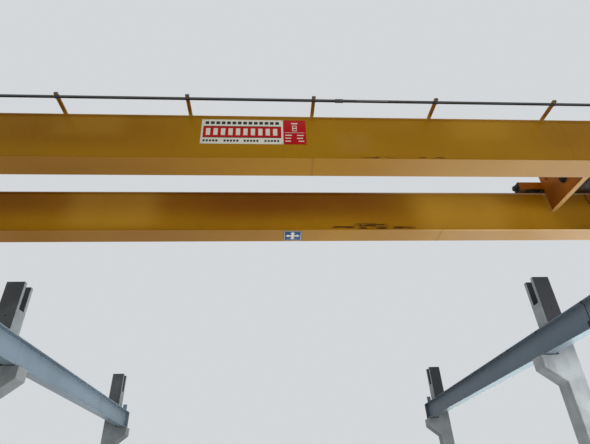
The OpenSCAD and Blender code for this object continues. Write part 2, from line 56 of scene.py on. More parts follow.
# Places that many pieces share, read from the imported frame
girderLip = 0.012                     # the bolted end plates stand this far past the flanges
girderLow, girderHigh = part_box("girder_near")
nearY, farY = middleOf("girder_near")[1], middleOf("girder_far")[1]
bridgeY = (nearY + farY) / 2
nearRailY, farRailY = middleOf("trolley_rail_near")[1], middleOf("trolley_rail_far")[1]
girderBottom = girderLow.z
girderTop = girderHigh.z - girderLip
girderEnd = girderHigh.x              # inner face of the end carriages
railX = middleOf("rail_right")[0]
runwayTop, railTop = (corner.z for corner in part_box("rail_right"))


def newObject(name, data):
    obj = bpy.data.objects.new(name, data)
    bpy.context.scene.collection.objects.link(obj)
    return obj


# Camera, at the place the photograph was taken from; its turns are in degrees, yaw to the right of +Y
cameraLook = {"place": (-0.68, -14.156, 1.6), "yaw": 4.20, "pitch": 32.73, "roll": -2.34, "lens": 27.03,
              "sensor": 36.0, "farEnd": 700}


def setCamera():
    look = cameraLook
    data = bpy.data.cameras.new("camera")
    data.lens, data.sensor_width, data.clip_end = look["lens"], look["sensor"], look["farEnd"]
    camera = newObject("camera", data)
    placed = Matrix.Translation(look["place"])
    for angle, axis in ((-look["yaw"], "Z"), (90 + look["pitch"], "X"), (look["roll"], "Z")):
        placed = placed @ Matrix.Rotation(math.radians(angle), 4, axis)
    camera.matrix_world = placed
    bpy.context.scene.camera = camera


# Light: a pale even surround, and soft panels where the hall has its skylights and windows
lightLook = {
    "surround": (0.60, 0.62, 0.64), "surroundPower": 0.58, "backdrop": (0.66, 0.68, 0.70),
    "floor": (0.62, 0.61, 0.59), "floorSize": 400.0,
    "floorLift": (0.32, 0.62), "liftReach": (12.0, 75.0),    # the floor fades into the backdrop
}
# Place, aim, size, power, spread
lightPanels = {
    "skylights": ((-2, -24, 18), (0, -6, 5.5), (20, 10), 200, 120),
    "frontOpening": ((3.5, -21, 1.5), (2, -9, 7.5), (12, 2.5), 36, 50),
    "farSkylights": ((3, 16, 18), (0, 0, 5.5), (20, 12), 900, 120),
    "windows": ((18, -4, 2.6), (2, -6, 6.5), (26, 4), 1000, 70),
    "farWindows": ((-18, -2, 3), (-2, -4, 7), (24, 4), 250, 70),
    "floorBounce": ((7, -7, 0.2), (6, -7.5, 6), (14, 12), 520, 180),
    "floorBounceLeft": ((-7, -8, 0.2), (-6, -8, 6), (12, 10), 45, 180),
    "leftBounce": ((-4, 7, 0.3), (-8.4, 8, 5.9), (6, 14), 104, 70),
    "rightBounce": ((13, -8, 1.6), (9, 0, 4.4), (4, 3), 125, 60),
    "outerWindows": ((17, 20, 2), (8, 20, 4.5), (36, 4), 1050, 180),
    "roofLight": ((0, -2, 24), (0, -2, 0), (40, 44), 2600, 180),
}
mirrored = ("windows", "floorBounce", "outerWindows")
mirroredOnly = {"outerWindows": (0.74, 0.95, 1.0)}    # and its tint


def setLight():
    world = bpy.data.worlds.new("surround")
    bpy.context.scene.world = world
    world.use_nodes = True
    tree = world.node_tree
    tree.nodes.clear()
    lit = got(tree, "ShaderNodeBackground", {0: (*lightLook["surround"], 1), 1: lightLook["surroundPower"]})
    shown = got(tree, "ShaderNodeBackground", {0: (*lightLook["backdrop"], 1)})
    put(tree, "ShaderNodeOutputWorld", {0: got(tree, "ShaderNodeMixShader", {0: seenRay(tree), 1: lit, 2: shown})})
    for name, (place, aim, size, power, spread) in lightPanels.items():
        data = bpy.data.lights.new(name, "AREA")
        data.shape = "RECTANGLE"
        data.size, data.size_y = size
        data.energy = power
        data.color = mirroredOnly.get(name, (1, 1, 1))
        data.spread = math.radians(spread)
        lamp = newObject(name, data)
        lamp.visible_camera = False
        lamp.visible_glossy = name in mirrored
        lamp.visible_diffuse = name not in mirroredOnly
        lamp.location = place
        lamp.rotation_euler = (Vector(aim) - Vector(place)).to_track_quat("-Z", "Y").to_euler()


# Node trees: a node with its inputs set or linked, and short ways to the usual ones
def fill(tree, node, inputs):
    for key, value in inputs.items():
        if isinstance(value, bpy.types.NodeSocket):
            tree.links.new(value, node.inputs[key])
        else:
            node.inputs[key].default_value = value


def put(tree, kind, inputs=None, **settings):
    node = tree.nodes.new(kind)
    for key, value in settings.items():
        setattr(node, key, value)
    fill(tree, node, inputs or {})
    return node


def got(tree, kind, inputs=None, output=0, **settings):
    return put(tree, kind, inputs, **settings).outputs[output]


def calc(tree, operation, first, second=0.0, clamp=False):
    return got(tree, "ShaderNodeMath", {0: first, 1: second}, operation=operation, use_clamp=clamp)


def plus(tree, first, second, clamp=False):
    return calc(tree, "ADD", first, second, clamp)


def minus(tree, first, second, clamp=False):
    return calc(tree, "SUBTRACT", first, second, clamp)


def times(tree, first, *others, clamp=False):
    for i, other in enumerate(others, 1):
        first = calc(tree, "MULTIPLY", first, other, clamp and i == len(others))
    return first


# Blends from first to second; a plain colour has three numbers
def blend(tree, amount, first, second, mode="MIX"):
    first, second = (
        value if isinstance(value, bpy.types.NodeSocket) else (*value, 1) for value in (first, second)
    )
    return got(tree, "ShaderNodeMix", {0: amount, 6: first, 7: second}, 2, data_type="RGBA", blend_type=mode)


def rise(tree, value, low, high, start=0.0, end=1.0):
    inputs = {0: value, 1: low, 2: high, 3: start, 4: end}
    return got(tree, "ShaderNodeMapRange", inputs, interpolation_type="SMOOTHSTEP")


def noise(tree, where, scale, detail=4.0, roughness=0.55, distortion=0.0, stretch=None):
    if stretch:
        where = got(tree, "ShaderNodeMapping", {"Vector": where, "Scale": stretch})
    return got(tree, "ShaderNodeTexNoise", {
        "Vector": where, "Scale": scale, "Detail": detail, "Roughness": roughness, "Distortion": distortion,
    })


def here(tree):
    return got(tree, "ShaderNodeTexCoord", output="Object")


def facing(tree, axis):
    normal = got(tree, "ShaderNodeNewGeometry", output="Normal")
    return got(tree, "ShaderNodeSeparateXYZ", {0: normal}, axis)


# One for the rays that show a background: straight from the camera, mirrored or through glass
def seenRay(tree):
    rays = tree.nodes.new("ShaderNodeLightPath").outputs
    seen = calc(tree, "MAXIMUM", rays["Is Camera Ray"], rays["Is Glossy Ray"])
    return calc(tree, "MAXIMUM", seen, rays["Is Transmission Ray"])


# A tree whose sockets come from their first values, or from the name of a kind that has none
def newTree(name, kind, inputs, outputs):
    tree = bpy.data.node_groups.new(name, kind)
    kinds = {float: "Float", int: "Int", tuple: "Vector"}
    for way, sockets in (("INPUT", inputs), ("OUTPUT", outputs)):
        for label, value in sockets.items():
            sort = kinds.get(type(value), value)
            socket = tree.interface.new_socket(name=label, in_out=way, socket_type="NodeSocket" + sort)
            if sort != value:
                socket.default_value = value
    return tree, tree.nodes.new("NodeGroupInput").outputs, tree.nodes.new("NodeGroupOutput").inputs


def newGroup(name, inputs, *outputs):
    return newTree(name, "ShaderNodeTree", inputs, dict.fromkeys(outputs, "Float"))


def giveOut(group, result, **values):
    for label, value in values.items():
        group.links.new(value, result[label])
    return group


# Patchy shade of a hand-rolled coat and its orange-peel ripple
def makeUnevenCoat():
    group, given, result = newGroup(
        "unevenCoat", {"Patch Size": 0.8, "Unevenness": 0.1, "Peel": 0.3}, "Shade", "Height")
    where = here(group)
    wide = noise(group, where, calc(group, "DIVIDE", 1.0, given["Patch Size"]), 3, 0.5)
    fine = noise(group, where, 22.0, 3, 0.6)
    centred = minus(group, plus(group, times(group, wide, 0.75), times(group, fine, 0.25)), 0.5)
    swing = times(group, centred, times(group, given["Unevenness"], 4.0))
    peel = times(group, noise(group, where, 160.0, 2, 0.5), given["Peel"])
    waves = times(group, noise(group, where, 2.5, 2, 0.4), 0.7)
    return giveOut(group, result, Shade=plus(group, swing, 1.0), Height=plus(group, peel, waves))


# Dust and soot that lies on faces turned upwards
def makeSettledDust():
    group, given, result = newGroup("settledDust", {"Amount": 0.5}, "Mask")
    up = rise(group, facing(group, 2), 0.35, 0.9)
    cloud = rise(group, noise(group, here(group), 5.0, 5, 0.65), 0.25, 0.7)
    return giveOut(group, result, Mask=times(group, up, cloud, given["Amount"], clamp=True))


# Drips and runs down upright faces
def makeRunStreaks():
    group, given, result = newGroup("runStreaks", {"Amount": 0.3, "Width": 0.05}, "Mask")
    where = here(group)
    narrow = calc(group, "DIVIDE", 1.0, given["Width"])
    lines = rise(group, noise(group, where, narrow, 3, 0.7, stretch=(1.0, 1.0, 0.06)), 0.52, 0.72)
    broken = rise(group, noise(group, where, 1.3, 3, 0.5), 0.42, 0.62)
    upright = minus(group, 1.0, calc(group, "ABSOLUTE", facing(group, 2)), clamp=True)
    return giveOut(group, result, Mask=times(group, lines, broken, upright, given["Amount"], clamp=True))


# Chips, flecks and rust dots
def makeSpeckle():
    group, given, result = newGroup("speckle", {"Amount": 0.3, "Size": 0.02}, "Mask")
    where = here(group)
    dots = noise(group, where, calc(group, "DIVIDE", 1.0, given["Size"]), 2, 0.5)
    zones = rise(group, noise(group, where, 0.9, 3, 0.6), 0.5, 0.75)
    edge = minus(group, 0.80, times(group, given["Amount"], 0.16))
    dots = rise(group, dots, edge, plus(group, edge, 0.03))
    return giveOut(group, result, Mask=times(group, dots, zones, clamp=True))


# A soft-edged block of space, whole up to the share solid of its reach, times its amount
def newZone(name, solid):
    group, given, result = newGroup(name, {"Middle": (0, 0, 0), "Reach": (1, 1, 1), "Amount": 1.0}, "Mask")
    away = got(group, "ShaderNodeVectorMath", {0: here(group), 1: given["Middle"]}, operation="SUBTRACT")
    share = got(group, "ShaderNodeVectorMath", {0: away, 1: given["Reach"]}, operation="DIVIDE")
    parts = put(group, "ShaderNodeSeparateXYZ", {0: share}).outputs
    edges = [rise(group, calc(group, "ABSOLUTE", part), solid, 1.0, 1.0, 0.0) for part in parts]
    return group, result, times(group, given["Amount"], *edges)


# Dark rubbed marks
def makeScuffZone():
    group, result, inside = newZone("scuffZone", 0.55)
    strokes = noise(group, here(group), 5.0, 4, 0.66, 0.3, stretch=(0.9, 1.0, 9.0))
    return giveOut(group, result, Mask=times(group, inside, rise(group, strokes, 0.44, 0.51), clamp=True))


# Thin cloudy patch, for grime and for painted light and shade
def makeVeilZone():
    group, result, inside = newZone("veilZone", 0.45)
    cloud = rise(group, noise(group, here(group), 0.8, 3, 0.5), 0.2, 0.6, 0.7, 1.0)
    return giveOut(group, result, Mask=times(group, inside, cloud))


# Cloudy cement skin, air holes and the seams of the casting form
def makeCastFace():
    group, given, result = newGroup(
        "castFace", {"Seam Step": 2.4, "Holes": 0.5}, "Shade", "Stain", "Hole", "Height")
    where = here(group)
    cloud = noise(group, where, 1.1, 6, 0.62)
    grain = noise(group, where, 60.0, 3, 0.7)
    shade = plus(group, times(group, cloud, 0.8), times(group, grain, 0.2))
    stain = rise(group, noise(group, where, 3.2, 5, 0.6, stretch=(1.0, 1.0, 0.22)), 0.5, 0.74)
    cells = got(group, "ShaderNodeTexVoronoi", {"Vector": where, "Scale": 34.0}, "Distance", feature="F1")
    rare = rise(group, noise(group, where, 6.0, 3, 0.6), 0.45, 0.7)
    hole = times(group, rise(group, cells, 0.10, 0.17, 1.0, 0.0), rare, given["Holes"], clamp=True)
    up = got(group, "ShaderNodeSeparateXYZ", {0: where}, 2)
    phase = calc(group, "FRACT", calc(group, "DIVIDE", up, given["Seam Step"]))
    seam = rise(group, calc(group, "ABSOLUTE", minus(group, phase, 0.5)), 0.0, 0.0022, 1.0, 0.0)
    rough = plus(group, times(group, grain, 0.35), times(group, cloud, 0.4))
    height = plus(group, minus(group, rough, hole), times(group, seam, 0.35))
    return giveOut(group, result, Shade=shade, Stain=stain, Hole=hole, Height=height)


# Mill scale and rust bloom
def makeRolledSteel():
    group, given, result = newGroup("rolledSteel", {"Grain Size": 0.02, "Rust": 0.4}, "Rust", "Shade", "Height")
    where = here(group)
    low = minus(group, 0.72, times(group, given["Rust"], 0.4))
    rust = rise(group, noise(group, where, 3.0, 6, 0.7), low, plus(group, low, 0.16))
    grain = noise(group, where, calc(group, "DIVIDE", 1.0, given["Grain Size"]), 4, 0.65)
    return giveOut(group, result, Rust=rust, Shade=plus(group, times(group, grain, 0.5), 0.75), Height=grain)


groups = {
    "coat": makeUnevenCoat(), "dust": makeSettledDust(), "runs": makeRunStreaks(), "specks": makeSpeckle(),
    "scuff": makeScuffZone(), "veil": makeVeilZone(), "cast": makeCastFace(), "steel": makeRolledSteel(),
}


def useGroup(tree, name, **values):
    node = put(tree, "ShaderNodeGroup", node_tree=groups[name])
    fill(tree, node, {key.replace("_", " "): value for key, value in values.items()})
    return node.outputs


def newMaterial(name):
    material = bpy.data.materials.new(name)
    material.use_nodes = True
    tree = material.node_tree
    tree.nodes.clear()
    shader = tree.nodes.new("ShaderNodeBsdfPrincipled")
    put(tree, "ShaderNodeOutputMaterial", {"Surface": shader.outputs[0]})
    return material, tree, shader


# Finishes the shader: its colour, its other sockets, and a bump from the height
def finishShader(tree, shader, colour, inputs, height, strength, distance):
    bump = got(tree, "ShaderNodeBump", {"Height": height, "Strength": strength, "Distance": distance})
    fill(tree, shader, {"Base Color": colour, **inputs, "Normal": bump})


# Paints: linear colour, its deeper shade, gloss, coat, unevenness, patch size, dust, runs, specks
paintLooks = {
    "cranePaint": ((0.430, 0.215, 0.004), (0.350, 0.155, 0.003), 0.34, 0.70, 0.16, 1.4, 0.55, 0.25, 0.35),
    # The trolley's paint is the crane's yellow made darker and redder: painted shade
    "trolleyPaint": ((0.380, 0.112, 0.003), (0.250, 0.062, 0.002), 0.38, 0.60, 0.30, 0.5, 0.65, 0.55, 0.55),
    "runwayPaint": ((0.130, 0.170, 0.205), (0.100, 0.132, 0.165), 0.42, 0.60, 0.16, 1.8, 0.70, 0.45, 0.45),
    "motorPaint": ((0.060, 0.095, 0.130), (0.040, 0.065, 0.090), 0.42, 0.10, 0.25, 0.3, 0.60, 0.30, 0.50),
    "cabinetPaint": ((0.420, 0.430, 0.420), (0.360, 0.370, 0.360), 0.40, 0.10, 0.10, 0.5, 0.50, 0.30, 0.20),
    "hookPaint": ((0.330, 0.022, 0.014), (0.230, 0.014, 0.010), 0.35, 0.20, 0.30, 0.12, 0.30, 0.20, 0.80),
    # Black paint; also used as painted shade on the trolley's ends and in slots
    "stripeBlack": ((0.018, 0.018, 0.018), (0.010, 0.010, 0.010), 0.40, 0.10, 0.25, 0.2, 0.30, 0.20, 0.40),
    "hazardPaint": ((0.520, 0.290, 0.006), (0.400, 0.200, 0.004), 0.35, 0.10, 0.30, 0.2, 0.40, 0.30, 0.70),
    "enamelWhite": ((0.820, 0.790, 0.650), (0.740, 0.710, 0.580), 0.20, 0.30, 0.05, 0.3, 0.20, 0.25, 0.15),
    "enamelRed": ((0.560, 0.003, 0.006), (0.460, 0.002, 0.005), 0.30, 0.10, 0.08, 0.3, 0.20, 0.15, 0.10),
    "enamelBlue": ((0.012, 0.085, 0.250), (0.010, 0.065, 0.200), 0.25, 0.30, 0.08, 0.2, 0.20, 0.10, 0.10),
    "enamelDark": ((0.035, 0.038, 0.045), (0.028, 0.030, 0.036), 0.25, 0.20, 0.10, 0.2, 0.20, 0.10, 0.10),
}
dustColour = (0.16, 0.14, 0.12)
rustColour = (0.13, 0.045, 0.018)
# Soot of drips and runs; also the painted shade on the trolley's left cross frame
sootAndShadeColour = (0.030, 0.022, 0.016)
# Dark scuff marks; also the painted shade on the trolley's side frame
scuffAndShadeColour = (0.055, 0.022, 0.004)
# Painted shade on the girders, in cloudy patches
shadeVeilColour = (0.156, 0.034, 0.001)
# Painted highlight on the flange edges, and a paler cleaned patch
glintAndRubColour = (0.560, 0.400, 0.220)
# Painted light and reflection on the webs
litPatchColour = (0.680, 0.390, 0.050)
# Painted light on the runway paint
windowLitColour = (0.205, 0.270, 0.325)

# Where the paint has changed, and where light and shade are painted on: middle, half size, strength
girderScuffs = [                      # along the lower web edges
    ((0.96, nearY, girderBottom + 0.040), (0.36, 0.30, 0.026), 1.0),
    ((1.74, nearY, girderBottom + 0.042), (0.24, 0.30, 0.022), 1.0),
    ((0.70, farY, girderBottom + 0.070), (0.26, 0.30, 0.030), 1.0),
    ((1.22, farY, girderBottom + 0.085), (0.38, 0.30, 0.085), 1.0),
    ((1.82, farY, girderBottom + 0.060), (0.26, 0.30, 0.030), 1.0),
]
girderShadeVeils = [                       # painted shade in cloudy patches, most of it under the top flanges
    ((-3.4, farY, girderTop + 0.16), (5.8, 0.30, 0.86), 0.80),
    ((5.4, farY, girderTop + 0.16), (1.9, 0.30, 0.60), 0.38),
    ((-6.6, nearY, girderTop), (5.6, 0.30, 0.90), 0.50),
    ((6.0, nearY, girderTop), (3.4, 0.30, 0.90), 0.18),
    ((0.0, farY, girderTop + 0.10), (2.6, 0.30, 0.90), 0.70),
    ((0.0, nearY - 0.40, girderTop + 0.02), (9.0, 0.19, 0.06), 0.75),
    ((-7.2, nearY, girderBottom), (7.0, 0.50, 0.03), 0.40),
    ((-7.2, farY, girderBottom), (8.0, 0.50, 0.03), 0.32),
]
girderGlintsAndRubs = [                        # pale upper flange edges as a painted highlight where they catch the light, and where the board was cleaned
    ((0.0, nearY - 0.20, girderTop - 0.006), (8.4, 0.030, 0.030), 0.15),
    ((4.2, farY - 0.20, girderTop - 0.006), (3.6, 0.030, 0.030), 0.75),
    ((-3.4, farY - 0.20, girderTop - 0.009), (6.0, 0.030, 0.005), 0.25),
    ((0.59, nearY - 0.20, girderTop - 0.51), (0.36, 0.060, 0.26), 0.07),
]
girderLitPatches = [                       # paler places on the webs under the skylights: painted light and painted reflection
    ((3.0, farY - 0.19, girderBottom + 0.36), (1.15, 0.05, 0.75), 0.42),
    ((5.8, farY - 0.19, girderBottom + 0.14), (3.0, 0.05, 0.60), 0.26),
    ((-3.5, farY - 0.19, girderBottom + 0.50), (1.10, 0.05, 0.60), 0.34),
    ((-3.3, nearY - 0.19, girderTop - 0.10), (0.70, 0.05, 0.42), 0.20),
    ((2.6, nearY - 0.19, girderTop - 0.10), (0.65, 0.05, 0.42), 0.16),
]
hoistShade = [                         # painted shade on the hoist side of the left cross frame
    ((4.78, bridgeY + 0.60, girderTop - 0.30), (0.3, 0.50, 0.46), 0.35),
    ((4.78, bridgeY - 0.10, girderTop - 0.02), (0.3, 0.36, 0.24), 0.55),
]
# Painted shade along the lower edge of the far trolley side frame and over its underside
sideFrameShade = [((5.4, farRailY, girderTop + 0.075), (1.6, 0.16, 0.025), 1.0)]
# Painted light on the left runway beam, as the windows light it
windowLitPatch = [((-8.4, 0.0, 5.9), (1.0, 30.0, 1.6), 1.0)]
# Painted shade on the near faces of the columns above the runway
columnShade = ((9.0, 0.0, 8.0), (28.0, 40.0, 3.2), 1.25)

# What only some paints have; zones lie in the paint, marks and zonesBelow over the tone of the undersides, and under
# is a paler colour painted on downward faces as painted light
paintExtras = {
    "cranePaint": {
        "sheen": (1.0, 0.76, 0.25), "coatAlong": (0.15, 1.45), "marks": girderScuffs,
        "zones": [(girderShadeVeils, shadeVeilColour), (girderGlintsAndRubs, glintAndRubColour), (girderLitPatches, litPatchColour)],
    },
    "runwayPaint": {"zones": [(windowLitPatch, windowLitColour)]},
    "trolleyPaint": {
        # under: a paler colour on downward faces, painted light
        "sheen": (1.0, 0.55, 0.15), "under": (0.520, 0.300, 0.090), "zones": [(hoistShade, sootAndShadeColour)],
        "zonesBelow": [(sideFrameShade, scuffAndShadeColour)],
    },
}


def zoneMask(tree, kind, zone):
    return useGroup(tree, kind, **dict(zip(("Middle", "Reach", "Amount"), zone)))["Mask"]


def tintZones(tree, tone, zones):
    for places, tint in zones:
        for zone in places:
            tone = blend(tree, zoneMask(tree, "veil", zone), tone, tint)
    return tone


def paintedMetal(name):
    colour, deep, gloss, coatWeight, uneven, patch, dusty, streaked, chipped = paintLooks[name]
    extra = paintExtras.get(name, {})
    material, tree, shader = newMaterial(name)
    coat = useGroup(tree, "coat", Patch_Size=patch, Unevenness=uneven, Peel=0.3)
    tone = blend(tree, rise(tree, coat["Shade"], 0.8, 1.2), deep, colour)
    runs = useGroup(tree, "runs", Amount=streaked, Width=0.06)["Mask"]
    tone = blend(tree, times(tree, runs, 0.45), tone, sootAndShadeColour)
    tone = tintZones(tree, tone, extra.get("zones", ()))
    # Downward faces take a paler colour: painted light
    if "under" in extra:
        tone = blend(tree, rise(tree, facing(tree, 2), -0.95, -0.6, 1.0, 0.0), tone, extra["under"])
    tone = tintZones(tree, tone, extra.get("zonesBelow", ()))
    for zone in extra.get("marks", ()):
        upright = rise(tree, calc(tree, "ABSOLUTE", facing(tree, 1)), 0.5, 0.9)
        tone = blend(tree, times(tree, zoneMask(tree, "scuff", zone), upright), tone, scuffAndShadeColour)
    specks = useGroup(tree, "specks", Amount=chipped, Size=0.015)["Mask"]
    tone = blend(tree, times(tree, specks, 0.7), tone, rustColour)
    dust = useGroup(tree, "dust", Amount=dusty)["Mask"]
    tone = blend(tree, dust, tone, dustColour)
    dull = calc(tree, "MAXIMUM", dust, times(tree, runs, 0.6))
    # Gloss is left on undersides, where no dust film settles
    under = rise(tree, facing(tree, 2), -0.9, -0.2, coatWeight, coatWeight * 0.1)
    if "coatAlong" in extra:
        along = got(tree, "ShaderNodeSeparateXYZ", {0: here(tree)}, 0)
        under = times(tree, under, rise(tree, along, -girderEnd, girderEnd, *extra["coatAlong"]), clamp=True)
    finishShader(tree, shader, tone, {
        "Roughness": plus(tree, gloss, times(tree, dull, 0.5), clamp=True), "Coat Weight": under,
        "Coat Roughness": 0.30, "Specular IOR Level": 0.12, "Specular Tint": (*extra.get("sheen", (1, 1, 1)), 1),
    }, coat["Height"], 0.25, 0.002)
    return material


concreteLook = {
    "light": (0.315, 0.345, 0.355), "dark": (0.205, 0.225, 0.232), "stain": (0.10, 0.095, 0.085),
    "hole": (0.06, 0.06, 0.055), "nearShade": (0.036, 0.038, 0.042),
}


def castConcrete(name):
    look = concreteLook
    material, tree, shader = newMaterial(name)
    face = useGroup(tree, "cast", Seam_Step=2.4, Holes=0.7)
    tone = blend(tree, rise(tree, face["Shade"], 0.3, 0.7), look["dark"], look["light"])
    tone = blend(tree, times(tree, face["Stain"], 0.35), tone, look["stain"])
    tone = blend(tree, times(tree, face["Hole"], 0.6), tone, look["hole"])
    # Painted shade on the near faces above the runway
    nearFace = rise(tree, facing(tree, 1), -0.9, -0.5, 1.0, 0.0)
    tone = blend(tree, times(tree, zoneMask(tree, "veil", columnShade), nearFace), tone, look["nearShade"])
    tone = blend(tree, useGroup(tree, "dust", Amount=0.5)["Mask"], tone, dustColour)
    finishShader(tree, shader, tone, {"Roughness": 0.85}, face["Height"], 0.5, 0.004)
    return material


# Bare steels: linear colour, rust, roughness, metal, and how bright the top is run by wheels
steelLooks = {
    "railSteel": ((0.16, 0.13, 0.11), 0.75, 0.55, 0.7, 0.9),
    "wheelIron": ((0.09, 0.085, 0.08), 0.35, 0.50, 0.6, 0.0),
    "drumSteel": ((0.035, 0.030, 0.027), 0.35, 0.62, 0.5, 0.0),
    "ropeSteel": ((0.055, 0.050, 0.045), 0.20, 0.55, 0.6, 0.0),
    "zinc": ((0.17, 0.175, 0.18), 0.20, 0.50, 0.7, 0.0),
    "boltZinc": ((0.26, 0.25, 0.23), 0.35, 0.42, 0.8, 0.0),
    "trackSteel": ((0.085, 0.088, 0.092), 0.10, 0.48, 0.6, 0.0),
}
brightSteel = (0.42, 0.40, 0.38)


def bareSteel(name):
    colour, rusty, roughness, metal, bright = steelLooks[name]
    material, tree, shader = newMaterial(name)
    skin = useGroup(tree, "steel", Grain_Size=0.02, Rust=rusty)
    tone = blend(tree, 1.0, colour, skin["Shade"], "MULTIPLY")
    rust = skin["Rust"]
    if bright:
        top = rise(tree, facing(tree, 2), 0.9, 0.99)
        rust = times(tree, rust, minus(tree, 1.0, top))
        tone = blend(tree, times(tree, top, bright), tone, brightSteel)
    tone = blend(tree, times(tree, rust, 0.8), tone, rustColour)
    dust = useGroup(tree, "dust", Amount=0.35)["Mask"]
    tone = blend(tree, dust, tone, dustColour)
    covered = calc(tree, "MAXIMUM", rust, dust)
    finishShader(tree, shader, tone, {
        "Metallic": times(tree, minus(tree, 1.0, covered, clamp=True), metal),
        "Roughness": plus(tree, roughness, times(tree, covered, 0.35), clamp=True),
    }, skin["Height"], 0.3, 0.001)
    return material


def blackRubber(name):
    material, tree, shader = newMaterial(name)
    where = here(tree)
    bloom = times(tree, rise(tree, noise(tree, where, 12.0, 4, 0.6), 0.45, 0.75), 0.5)
    tone = blend(tree, bloom, (0.012, 0.012, 0.012), (0.06, 0.055, 0.05))
    finishShader(tree, shader, tone, {"Roughness": 0.7}, noise(tree, where, 90.0, 3, 0.6), 0.3, 0.001)
    return material


def floorMaterial(name):
    look = lightLook
    material, tree, shader = newMaterial(name)
    away = got(tree, "ShaderNodeVectorMath", {0: here(tree)}, "Value", operation="LENGTH")
    lift = rise(tree, away, *look["liftReach"], *look["floorLift"])
    fill(tree, shader, {
        "Base Color": (*look["floor"], 1), "Roughness": 0.9, "Specular IOR Level": 0.0,
        "Emission Color": (*look["backdrop"], 1), "Emission Strength": times(tree, seenRay(tree), lift),
    })
    return material


materials = {name: paintedMetal(name) for name in paintLooks}
materials.update({name: bareSteel(name) for name in steelLooks})
materials["concrete"] = castConcrete("concrete")
materials["rubber"] = blackRubber("rubber")
print("materials", len(materials))

# The record's material slot of each finish; the first finish of a slot also dresses its CAD nodes
slotOf = {
    "concrete": "concrete", "runwayPaint": "runway_paint", "zinc": "galvanised_steel",
    "railSteel": "rail_steel", "cranePaint": "crane_paint", "trolleyPaint": "trolley_paint",
    "wheelIron": "wheel_iron", "motorPaint": "motor_paint", "rubber": "buffer_rubber",
    "enamelWhite": "board_white", "enamelRed": "board_red", "enamelBlue": "plate_blue",
    "cabinetPaint": "cabinet_paint", "drumSteel": "drum_steel", "ropeSteel": "rope_steel",
    "hookPaint": "hook_steel", "boltZinc": "galvanised_steel", "trackSteel": "galvanised_steel",
    "enamelDark": "board_white", "stripeBlack": "crane_paint", "hazardPaint": "crane_paint",
}


# Gives each CAD node its finish; those that keep their shape show it
def dressNodes():
    dresses = {slot: finish for finish, slot in reversed(slotOf.items())}
    finishOf = {part["node"]: dresses[part["material_slot"]] for part in frame["record"]["subparts"]}
    finishOf["festoon_track"] = "trackSteel"
    for name, node in frame["nodes"].items():
        for holder in node.material_slots:
            holder.material = materials[finishOf[name]]


# Mesh making: every shape is added to one bmesh, then finished as a piece
toAxis = {
    "x": lambda a, b, along: (along, a, b),
    "y": lambda a, b, along: (a, along, b),
    "z": lambda a, b, along: (a, b, along),
}
bevelSegments, bevelLimit = 2, 40     # for edges sharper than the limit in degrees


def around(middle, half):
    return middle - half, middle + half


# Faces between rings of vertices, a pole being a ring of one, and a face over each open end
def skin(bm, rings, finish=0):
    faces = [bm.faces.new(end) for end in (rings[0][::-1], rings[-1]) if len(end) > 2]
    for one, two in zip(rings, rings[1:]):
        sides = max(len(one), len(two))
        for i in range(sides):
            corners = [one[i % len(one)], one[(i + 1) % len(one)], two[(i + 1) % len(two)], two[i % len(two)]]
            faces.append(bm.faces.new(list(dict.fromkeys(corners))))
    for face in faces:
        face.material_index = finish


def addPrism(bm, outline, axis, start, end, finish=0):
    skin(bm, [[bm.verts.new(toAxis[axis](a, b, along)) for a, b in outline] for along in (start, end)], finish)


def addBlock(bm, xs, ys, zs, finish=0):
    addPrism(bm, [(xs[0], ys[0]), (xs[1], ys[0]), (xs[1], ys[1]), (xs[0], ys[1])], "z", *zs, finish)


# A leaning block: half sides a and b about its base, and its whole depth c
def addLeaningBlock(bm, base, a, b, c):
    square = ((-1, -1), (1, -1), (1, 1), (-1, 1))
    skin(bm, [[bm.verts.new(base + i * a + j * b + k * c) for i, j in square] for k in (0, 1)])


def arc(a, b, radius, start, end, steps):
    turns = [math.radians(start + (end - start) * i / steps) for i in range(steps + 1)]
    return [(a + radius * math.cos(turn), b + radius * math.sin(turn)) for turn in turns]


# Outline of a rectangle with round corners, its middle at (a, b)
def softRectangle(a, b, width, height, corner):
    outline = []
    for quarter, (signA, signB) in enumerate(((1, 1), (-1, 1), (-1, -1), (1, -1))):
        midA, midB = a + signA * (width / 2 - corner), b + signB * (height / 2 - corner)
        outline += arc(midA, midB, corner, quarter * 90, quarter * 90 + 90, 5)
    return outline


def newRing(bm, middle, across, over, radius, sides):
    if radius < 1e-6:
        return [bm.verts.new(middle)]
    turns = [i * 2 * math.pi / sides for i in range(sides)]
    return [bm.verts.new(middle + radius * (across * math.cos(turn) + over * math.sin(turn))) for turn in turns]


# A turned shape: profile is (along, radius) pairs from the centre in the direction of aim
def addTurned(bm, centre, aim, profile, sides=40):
    aim = Vector(aim).normalized()
    across = aim.orthogonal().normalized()
    over = aim.cross(across)
    skin(bm, [newRing(bm, Vector(centre) + aim * along, across, over, radius, sides) for along, radius in profile])


# A tube along a path with its own radius at each point, pressed to the share flat along Y
def addSweep(bm, path, radii, sides=8, flat=1.0):
    path = [Vector(point) for point in path]
    radii = radii if isinstance(radii, list) else [radii] * len(path)
    across = None
    rings = []
    for i, (point, radius) in enumerate(zip(path, radii)):
        aim = (path[min(i + 1, len(path) - 1)] - path[max(i - 1, 0)]).normalized()
        if across is None:
            across = Vector((0, 1, 0)) if abs(aim.y) < 0.95 else aim.orthogonal()
        across = (across - aim * across.dot(aim)).normalized()
        rings.append(newRing(bm, point, across * flat, aim.cross(across), radius, sides))
    skin(bm, rings)


def bakeModifiers(obj):
    bpy.context.view_layer.update()
    seen = obj.evaluated_get(bpy.context.evaluated_depsgraph_get())
    mesh = bpy.data.meshes.new_from_object(seen)
    obj.modifiers.clear()
    old, obj.data = obj.data, mesh
    mesh.name = obj.name
    bpy.data.meshes.remove(old)


